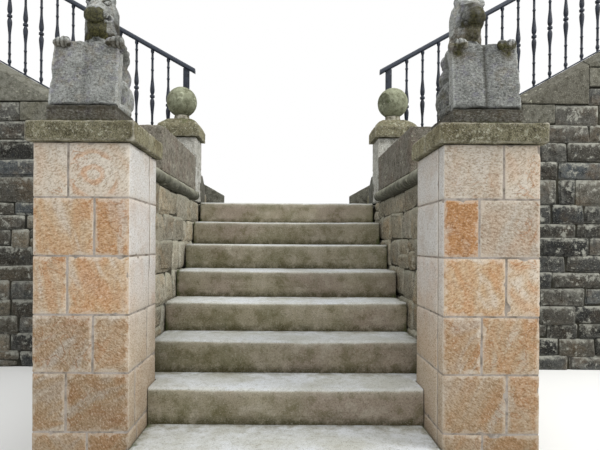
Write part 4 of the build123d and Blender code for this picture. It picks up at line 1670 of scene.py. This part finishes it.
def beast_lumps(look, seed):
    """The beast's body, head, legs and paws as rough lumps."""
    axes = head_axes(look["turn"])
    draw = random.Random(seed)
    head_centre = Vector((look["head"], head_y, head_z))
    neck_foot = Vector((look["neck"], 0.022, 0.335))
    neck_top = Vector((look["neck"], 0.016, head_z))

    def head_point(forward, outer, height):
        return head_centre + axes @ Vector((outer, forward, height))

    shape = bmesh.new()
    body_x = -0.025
    body_y = 0.041
    add_ball(shape, Vector((body_x, body_y + 0.022, 0.165)), (0.112, 0.096, 0.100))
    add_limb(shape, Vector((body_x, body_y + 0.024, 0.20)), Vector((-0.036, 0.045, 0.320)), 0.100, 0.076)
    add_ball(shape, Vector((-0.060, 0.055, 0.250)), (0.080, 0.060, 0.085))
    add_limb(shape, neck_foot, neck_top, look["neck_radius"] + 0.003, look["neck_radius"])
    for side in (-1, 1):
        haunch = Vector((body_x + side * 0.084, body_y - 0.020, 0.150))
        knee = Vector((body_x + side * 0.100, body_y - 0.088, 0.186))
        heel = Vector((body_x + side * 0.104, body_y - 0.010, 0.090))
        toe = Vector((body_x + side * 0.106, body_y - 0.130, 0.088))
        add_ball(shape, haunch, (0.052, 0.080, 0.074))
        add_limb(shape, haunch, knee, 0.046, 0.034)
        add_limb(shape, knee, Vector((knee.x, knee.y + 0.030, 0.112)), 0.030, 0.024)
        add_limb(shape, heel, toe, 0.023, 0.021)

    # Skull, muzzle, nose pad and lower jaw, with places as forward, outer and height
    add_ball(shape, head_centre, (0.062, 0.070, 0.070))
    for start, end, start_radius, end_radius in (
        ((0.000, 0, 0.012), (0.040, 0, 0.022), 0.058, 0.051),
        ((0.030, 0, 0.002), (0.084, 0, 0.006), 0.053, 0.044),
        ((0.096, -0.006, 0.002), (0.096, look["pad"], 0.002), 0.033, 0.033),
        ((0.020, 0, -0.050), (look["jaw"], 0, -0.058), 0.050, 0.037),
    ):
        add_limb(shape, head_point(*start), head_point(*end), start_radius, end_radius)

    # Brows, cheeks, ears and eyes
    for side in (-1, 1):
        for forward, outer, height, radii in (
            (0.026, 0.034, 0.056, (0.024, 0.024, 0.018)),
            (0.024, 0.036, -0.014, (0.034, 0.036, 0.044)),
            (-0.020, 0.044, 0.058, (0.020, 0.019, 0.027)),
            (0.045, 0.037, 0.050, (0.012, 0.012, 0.011)),
        ):
            add_ball(shape, head_point(forward, side * outer, height), radii)

    # Forelegs over the top edge of the book, with four toes on each paw
    for side, across in zip((-1, 1), look["paws"]):
        top = look["book_height"]
        wrist = book_point(look, across, top - 0.010, -0.034)
        shoulder = Vector((-0.036 + side * 0.054, 0.052, 0.335))
        elbow = Vector((across * 0.86, 0.034, 0.350))
        add_limb(shape, shoulder, elbow, 0.042, 0.031)
        add_limb(shape, elbow, wrist, 0.031, 0.028)
        knuckles = book_point(look, across, top - 0.008, -0.002)
        for spread in (-0.013, 0.013):
            add_limb(shape, wrist, knuckles + Vector((spread, 0, 0)), 0.027, 0.025)
        for number in range(4):
            offset = (number - 1.5) * toe_spacing
            drop = abs(number - 1.5) * 0.003 + draw.uniform(-0.003, 0.004)
            reach = draw.uniform(-0.004, 0.004)
            tip_height = top - 0.005 - look["toe_length"] + reach
            first = book_point(look, across + offset, top - 0.005 - drop, 0.009)
            tip = book_point(look, across + offset * 1.06, tip_height, 0.010)
            add_limb(shape, first, tip, draw.uniform(0.0110, 0.0130), draw.uniform(0.0095, 0.0120))
    return shape


def remeshed(shape, voxel):
    """One closed skin round all the lumps."""
    mesh = bpy.data.meshes.new("lumps")
    shape.to_mesh(mesh)
    shape.free()
    rough = new_object("lumps", mesh)
    skin = rough.modifiers.new("skin", "REMESH")
    skin.mode = "VOXEL"
    skin.voxel_size = voxel
    skin.adaptivity = 0
    bpy.context.view_layer.update()
    made = bpy.data.meshes.new_from_object(rough.evaluated_get(bpy.context.evaluated_depsgraph_get()))
    whole = bmesh.new()
    whole.from_mesh(made)
    bpy.data.objects.remove(rough)
    bpy.data.meshes.remove(mesh)
    bpy.data.meshes.remove(made)
    return whole


def near(value, middle, width):
    """1 at the middle, falling smoothly to 0 at the width."""
    share = min(abs(value - middle) / width, 1.0)
    return (1.0 - share * share) ** 2


def grow(value, start, length):
    """0 up to a start, then smoothly to 1 over a length, which may be negative."""
    share = clamp((value - start) / length)
    return share * share * (3 - 2 * share)


def carve_beast(shape, seed, look):
    """Cuts mouth, eyes, nostrils, toes and hair into the skin and paints moss, dirt, and painted shade in
    the cuts and under the chin.
    """
    layer = tone_layer(shape)
    eyes = look["eyes"]
    olive = look["olive"]
    book_height = look["book_height"]
    shift = Vector((seed * 3.3, seed * 1.7, seed * 2.9))
    shape.normal_update()
    unlean = Matrix.Rotation(book_lean, 3, "X")
    own = head_axes(look["turn"]).transposed()
    head_centre = Vector((look["head"], head_y, head_z))
    foot = book_foot(look)
    for vert in shape.verts:
        place = vert.co.copy()
        side, forward, height = own @ (place - head_centre)
        ragged = 0.008 * noise.noise(place / 0.016 + shift)
        blotch = 0.5 + noise.noise(place / 0.030 + shift)
        push = 0.0
        dark = 0.0
        moss = 0.0
        brown = 0.0
        light = 0.55

        if place.z > 0.400 and forward > -0.02 and abs(side) < 0.085:
            # Mouth line round the muzzle, ending in a ringed pit on each cheek, with eyes and nostrils;
            # each cut gets painted shade
            line = -0.012 - 0.012 * grow(forward, 0.086, 0.030)
            groove = near(height, line, 0.0070) * grow(forward, 0.066, 0.012)
            corner = math.hypot(forward - 0.066, height + 0.010)
            eye_gap = math.hypot((forward - 0.045) * 0.75, (height - 0.052) * 1.15)
            nostril = math.hypot(forward - 0.128, abs(side - 0.003) - 0.013, height - 0.008)
            cuts = [(groove, 0.0080, 0.9), (near(nostril, 0.0, 0.010), 0.006, 0.8)]
            if abs(side) > 0.022:
                swollen = eyes * near(corner, 0.0150, 0.0060)
                push += 0.0060 * swollen
                light += 0.50 * swollen
                cuts += [
                    (eyes * near(corner, 0.0, 0.0110), 0.0170, 1.0),
                    (eyes * near(eye_gap, 0.0125, 0.0048), 0.0060, 0.95),
                    (eyes * near(eye_gap, 0.0, 0.0040), 0.0030, 0.8),
                ]
            for share, depth, shadow in cuts:
                push -= depth * share
                dark = max(dark, shadow * share)

            # Moss on the nose pad and the jaw, a pale bridge, darker cheeks, and a browned throat with
            # painted shadow under the chin
            pad = grow(forward + ragged, 0.088, 0.012) * grow(place.z + ragged, 0.521, -0.010)
            pad *= grow(side + ragged, -0.044, 0.010)
            jaw = grow(forward + ragged, 0.008, 0.020) * grow(height + ragged, -0.018, -0.012)
            jaw *= grow(side + ragged, -0.046, 0.014)
            chin = math.hypot(side - 0.004, min(height + 0.040, 0.0))
            jaw *= grow(chin + ragged, 0.052, -0.012)
            throat = grow(place.z + ragged, 0.442, -0.020) * grow(forward, 0.000, 0.02)
            moss = max(pad * (0.20 + 0.80 * olive), olive * jaw)
            brown = look["brown"] * max(jaw, throat)
            dark = max(dark, 0.34 * pad * olive, 0.45 * jaw * olive)
            dark = max(dark, (1.36 * olive - 0.46) * throat)
            light += 0.30 * grow(height, 0.004, 0.03) - 0.30 * grow(abs(side), 0.030, 0.03)
            face = grow(forward + ragged, -0.005, 0.02) * grow(side + ragged, -0.062, 0.02)
            face *= look["grime"] * (1.0 - grow(place.z + ragged, 0.548, 0.02))
            face *= grow(place.z + ragged, 0.440, 0.02)
            dark = max(dark, face * (0.40 + 0.50 * blotch))
            moss = max(moss, face * (0.05 + 0.55 * blotch))
            light -= 0.25 * face

        # Locks of hair on the neck, the breast and the back, with painted shade in their grooves
        elif place.z > 0.20:
            swirl = noise.noise(place / 0.08 + shift)
            across = math.atan2(place.y - 0.03, place.x + 0.040)
            locks = math.sin(across * 13 + place.z * 40 + swirl * 4)
            strength = near(place.z, 0.40, 0.21)
            push += 0.0034 * locks * strength
            dark = max(dark, 0.55 * max(-locks, 0.0) * strength)

        # The throat and the outer side of the neck are browned and take painted shade from the chin above,
        # and the inner side is painted pale
        if place.z > 0.34 and forward < 0.05 and place.y < 0.05:
            outer = grow(place.x - look["neck"] + ragged, -0.100 if olive > 0.5 else -0.034, 0.020)
            below = grow(place.z, 0.505, -0.03)
            dark = max(dark, (0.70 if olive > 0.5 else 0.35) * outer * below)
            brown = max(brown, look["brown"] * outer * below)
            if olive < 0.5:
                light = max(light, 0.95 * (1.0 - outer))

        # Gaps between the toes that hang over the book, with painted shade in them
        page = unlean @ (place - foot)
        if page.y < 0.014 and book_height - 0.07 < page.z < book_height + 0.035:
            for across in look["paws"]:
                toe = (place.x - across) / toe_spacing
                if abs(toe) > 2.6:
                    continue
                gap = near(toe - round(toe), 0.0, 0.30) if abs(toe) < 1.3 else 0.0
                gap *= grow(page.z, book_height + 0.020, -0.012)
                push -= 0.0040 * gap
                low = grow(page.z + ragged, book_height - 0.003, -0.016)
                dark = max(gap * 0.75, 0.30 * low, 0.75 * grow(blotch, 0.55, 0.2))
                moss = max(moss, (0.15 + 0.75 * look["hanging"]) * low * (0.4 + 0.8 * blotch))
                brown = max(brown, 0.6 * low)
                light = look["paw_light"] - 0.25 * low

        # The haunches take a lightness of their own for each beast
        if place.z < 0.26:
            light = look["haunch_light"]
            moss = max(moss, 0.45 * grow(blotch, 0.60, 0.3))
        rough = noise.noise(place / 0.012 + shift) * 0.0012 + noise.noise(place / 0.035 + shift) * 0.0026
        pit = chipped(place / 0.022 + shift * 2, 0.30) * 0.008
        vert.co += vert.normal * (push + rough - pit)
        if place.x < -0.085 and place.z < 0.44:
            dark = max(dark, 0.35 * grow(place.z, 0.18, 0.10))
        vert[layer] = (clamp(light), max(moss, 0.0), clamp(dark), clamp(brown))


def open_book(seed, look):
    """An open book of stone, leaning back, with bowed leaves and a broken, undercut lower edge, painted
    shade in its gutter, between its leaves and under its lip, and painted light on its page edges.
    """
    low = Vector((-book_width / 2, 0, 0))
    high = Vector((book_width / 2, book_thickness, look["book_height"]))
    shape = box_stone(low, high, arris=0.004, spacing=0.008, segments=2)
    layer = tone_layer(shape)
    shape.normal_update()
    shift = Vector((seed * 1.3, seed * 4.1, seed * 2.3))
    half = book_width / 2
    for vert in shape.verts:
        place = vert.co.copy()
        facing = fade(place.y, book_thickness * 0.6)
        across = abs(place.x) / half
        vert.co.x *= 1.0 + look["splay"] * (1.0 - place.z / look["book_height"])
        bow = look["gutter"] * math.exp(-((across / 0.15) ** 2)) + 0.006 * max(across - 0.5, 0.0) * 2.0
        vert.co.y += bow * facing
        foot = fade(place.z, 0.05)
        ripple = 0.0030 * math.sin(place.x * 42 + seed) + 0.003 * noise.noise(place / 0.03 + shift)
        vert.co.z += foot * look["ripple"] * (ripple + 0.006)
        undercut = near(place.z, 0.0, 0.012) * facing
        vert.co.y += 0.014 * undercut
        rough = 0.0024 * noise.noise(place / 0.03 + shift) + 0.0016 * noise.noise(place / 0.012 + shift)
        chip = chipped(place / 0.04 + shift, 0.25) * chip_depth
        rim = min(half - abs(place.x), look["book_height"] - place.z)
        if rim < 0.012:
            rough -= chip
        vert.co += vert.normal * (rough - 0.001)
        leaves = 0.0
        if abs(place.x) > half - 0.003 and 0.006 < place.y < book_thickness - 0.006:
            leaves = 0.5 + 0.5 * math.sin(place.y * 500)
            vert.co.x -= math.copysign(0.002 * leaves, place.x)
        gutter = near(place.x, 0.0, 0.016) * facing * look["gutter"] / 0.013
        stain = chipped(place / 0.09 + shift, 0.05) * 0.6
        # The page edges are painted pale: painted light, strongest on the left beast
        pale = look["leaf_edge_painted_light"] if abs(place.x) > half - 0.006 else 0.0
        ragged = noise.noise(place / 0.016 + shift)
        drop = (place.z - look["book_height"] + 0.044 + 0.016 * noise.noise(place / 0.05 + shift)) / 0.056
        beside = min(abs(place.x + look["book"] - paw) for paw in look["paws"]) / 0.044
        below = near(math.hypot(drop, beside), 0.0, 1.0) * facing
        moss = max(0.16 * foot, look["hanging"] * below * (0.85 + 0.9 * ragged))
        # Painted shade in the gutter, between the leaves and under the undercut lip; the moss below the
        # paws is darkened too
        dark = max(gutter * 0.66, leaves * 0.15, undercut * 0.9, below * 0.30 * look["hanging"])
        light = max(look["page_light"] - stain * 0.4 + pale, 0.0)
        vert[layer] = (light, max(moss, 0.0), dark, min(below * look["hanging"], 1.0))
    bmesh.ops.rotate(shape, cent=(0, 0, 0), matrix=Matrix.Rotation(-book_lean, 3, "X"), verts=shape.verts)
    bmesh.ops.translate(shape, vec=book_foot(look), verts=shape.verts)
    return shape


def beast(side):
    """A beast sitting behind its open book, on a plinth."""
    seed = beast_seeds[side]
    look = beast_looks[side]
    shape = new_shape()
    skin = remeshed(beast_lumps(look, seed), voxel_size)
    for turn in range(2):
        smoothed(skin, factor=0.5)
    carve_beast(skin, seed, look)
    join(shape, skin)
    join(shape, open_book(seed, look))
    low = Vector((-plinth_size.x / 2, -plinth_size.y / 2, 0))
    high = Vector((plinth_size.x / 2, plinth_size.y / 2, look["plinth"]))
    plinth = box_stone(low, high, arris=0.008, spacing=0.010, segments=3)
    tone_points(plinth, low, high, light=0.25, hue=0.30, margin_width=0.05)
    layer = tone_layer(plinth)
    # The plinth is painted dark: dirt, and painted shade under the book that is darkest at its top
    for vert in plinth.verts:
        crusted = 0.50 if vert.co.z < 0.016 else 0.28
        shadow = 0.66 if vert.co.z > 0.060 else 0.40
        vert[layer] = (0.20, crusted, shadow, 0.7)
    roughen(plinth, depth=0.0035, size=0.04, seed=seed, inward=True)
    join(shape, plinth)
    shift = left_beast_shift if side == "left" else 0.0
    bmesh.ops.translate(shape, vec=beast_place + Vector((shift, 0, 0)), verts=shape.verts)
    return shape


for side in sides:
    finish_side(side, "carved_beast", beast(side), "carved", "beast", 60)


# Iron railings

railing_y = 0.125
railing_height = 0.852
handrail_thickness = 0.042
newel_width = 0.052
newel_thickness = 0.012
newel_x = landing_reach + 0.020
end_newel_x = side_end - newel_width
first_baluster_gap = 0.150
baluster_spacing = 0.132
handrail_tip = 0.072
foot_bar_half = 0.015
foot_bar_thickness = 0.012
rail_under = railing_height - handrail_thickness
shaft = 0.0095


def baluster_half():
    """Radii and heights of a baluster from its middle to its top."""
    top = (rail_under - 0.006) / 2
    return [
        (0.0195, 0.000), (0.0200, 0.004), (0.0195, 0.008), (0.0125, 0.011), (0.0115, 0.018),
        (0.0150, 0.026), (0.0180, 0.036), (0.0190, 0.050), (0.0180, 0.068), (0.0150, 0.098),
        (0.0120, 0.126), (0.0098, 0.152), (shaft, 0.180), (shaft, 0.204), (0.0118, 0.207),
        (0.0125, 0.212), (0.0118, 0.217), (shaft, 0.220), (shaft, 0.297), (0.0118, 0.300),
        (0.0125, 0.305), (0.0118, 0.310), (shaft, 0.313), (shaft, top - 0.055), (0.0140, top - 0.046),
        (0.0150, top - 0.036), (0.0135, top - 0.026), (shaft, top - 0.020), (shaft, top),
    ]


def add_baluster(shape, x):
    """One turned baluster, spun about its own line."""
    half = baluster_half()
    outline = [(radius, -z) for radius, z in reversed(half[1:])] + half
    length = rail_under + 0.020
    middle = ridge_line(x) + 0.006 + length / 2
    part = bmesh.new()
    points = [part.verts.new((radius, 0, z)) for radius, z in outline]
    stretch = length / 2 / half[-1][1]
    bmesh.ops.scale(part, vec=(1, 1, stretch), verts=part.verts)
    edges = [part.edges.new(pair) for pair in zip(points, points[1:])]
    bmesh.ops.spin(
        part, geom=points + edges, cent=(0, 0, 0), axis=up, angle=math.tau, steps=14, use_merge=True
    )
    bmesh.ops.remove_doubles(part, verts=part.verts, dist=1e-6)
    bmesh.ops.holes_fill(part, edges=part.edges[:], sides=0)
    bmesh.ops.translate(part, vec=(x, railing_y, middle), verts=part.verts)
    join(shape, part)


def add_bar(shape, section, stations):
    """A bar of one upright section through places along the rake."""
    part = bmesh.new()
    start_x, start_z = stations[0]
    ring = [part.verts.new((start_x, railing_y + y, start_z + z)) for y, z in section]
    face = part.faces.new(ring)
    for (x0, z0), (x1, z1) in zip(stations, stations[1:]):
        face, verts = push_out(part, face)
        bmesh.ops.translate(part, vec=(x1 - x0, 0, z1 - z0), verts=verts)
    ends = {round(stations[0][0], 6), round(stations[-1][0], 6)}
    hidden = [
        each for each in part.faces
        if len(each.verts) == len(section) and round(each.calc_center_median().x, 6) not in ends
    ]
    bmesh.ops.delete(part, geom=hidden, context="FACES_ONLY")
    bmesh.ops.recalc_face_normals(part, faces=part.faces)
    join(shape, part)


def railing():
    """Handrail, foot bar, newel bars and balusters of one side."""
    shape = new_shape()
    rail_section = [
        (-0.015, rail_under), (0.015, rail_under), (0.022, rail_under + 0.007), (0.022, rail_under + 0.026),
        (0.018, rail_under + 0.034), (0.010, rail_under + 0.040), (0.000, railing_height),
        (-0.010, rail_under + 0.040), (-0.018, rail_under + 0.034), (-0.022, rail_under + 0.026),
        (-0.022, rail_under + 0.007),
    ]
    rail_run = [(x, ridge_line(x)) for x in (newel_x - handrail_tip, last_riser, side_end)]
    add_bar(shape, rail_section, rail_run)
    foot_section = [
        (-foot_bar_half, 0), (foot_bar_half, 0), (foot_bar_half, 0.009), (0.012, foot_bar_thickness),
        (-0.012, foot_bar_thickness), (-foot_bar_half, 0.009),
    ]
    foot_run = [(x, ridge_line(x)) for x in (newel_x - newel_width, last_riser, side_end)]
    add_bar(shape, foot_section, foot_run)
    run = end_newel_x - newel_x - newel_width - first_baluster_gap
    for number in range(int(run / baluster_spacing) + 1):
        add_baluster(shape, newel_x + first_baluster_gap + baluster_spacing * number)
    for x in (newel_x, end_newel_x):
        foot = ridge_line(x - newel_width / 2) + 0.004
        head = ridge_line(x - newel_width / 2) + rail_under + 0.02
        low = Vector((x - newel_width / 2, railing_y - newel_thickness / 2, foot))
        high = Vector((x + newel_width / 2, railing_y + newel_thickness / 2, head))
        join(shape, box_stone(low, high, arris=0.0025, spacing=0.1, segments=2))
    return shape


for side in sides:
    finish_side(side, "iron_railing", railing(), "iron", "railing")


# Floor, backdrop and light


def plain_finish(name, colour):
    """A plain dull finish."""
    material = bpy.data.materials.new(name)
    material.use_nodes = True
    shader = material.node_tree.nodes["Principled BSDF"]
    shader.inputs["Base Color"].default_value = colour
    shader.inputs["Roughness"].default_value = 0.9
    shader.inputs["Specular IOR Level"].default_value = 0.1
    return material


floor_shape = bmesh.new()
bmesh.ops.create_grid(floor_shape, x_segments=1, y_segments=1, size=60)
floor_mesh = bpy.data.meshes.new("floor")
floor_shape.to_mesh(floor_mesh)
floor_shape.free()
floor = new_object("floor", floor_mesh)
floor_mesh.materials.append(plain_finish("pale_floor", shade(226, 226, 224)))

world = bpy.data.worlds.new("soft_sky")
scene.world = world
world.use_nodes = True
sky = Recipe(world.node_tree)
background = world.node_tree.nodes["Background"]
output = world.node_tree.nodes["World Output"]
background.inputs["Color"].default_value = (0.93, 0.96, 1.0, 1.0)
background.inputs["Strength"].default_value = 0.40
white = sky.node("Background", {"Color": (1.0, 1.0, 1.0, 1.0), "Strength": 1.0})
paths = sky.node("LightPath")
shown = sky.calc("MAXIMUM", paths.outputs["Is Camera Ray"], paths.outputs["Is Glossy Ray"])
shown = sky.calc("MAXIMUM", shown, paths.outputs["Is Transmission Ray"])
chosen = sky.node("MixShader", {0: shown, 1: background.outputs[0], 2: white.outputs[0]})
world.node_tree.links.new(chosen.outputs[0], output.inputs["Surface"])


def soft_light(name, place, aim, size, power, colour=(1.0, 1.0, 1.0)):
    """A large soft lamp pointed at a place."""
    data = bpy.data.lights.new(name, "AREA")
    data.shape = "DISK"
    data.size = size
    data.energy = power
    data.color = colour
    line = Vector(aim) - Vector(place)
    turn = line.to_track_quat("-Z", "Y").to_matrix().to_4x4()
    new_object(name, data).matrix_world = Matrix.Translation(place) @ turn


middle = (0, -0.8, 1.0)
soft_light(name="key", place=(7.0, -3.6, 7.5), aim=middle, size=4.5, power=700, colour=(1.0, 0.99, 0.97))
soft_light(name="front", place=(-1.0, -9.0, 6.0), aim=middle, size=6.0, power=220)
soft_light(name="left", place=(-7.0, -4.0, 6.0), aim=middle, size=5.0, power=92)
soft_light(name="top", place=(0.0, -1.5, 9.0), aim=(0, -0.8, 0.6), size=6.0, power=400)
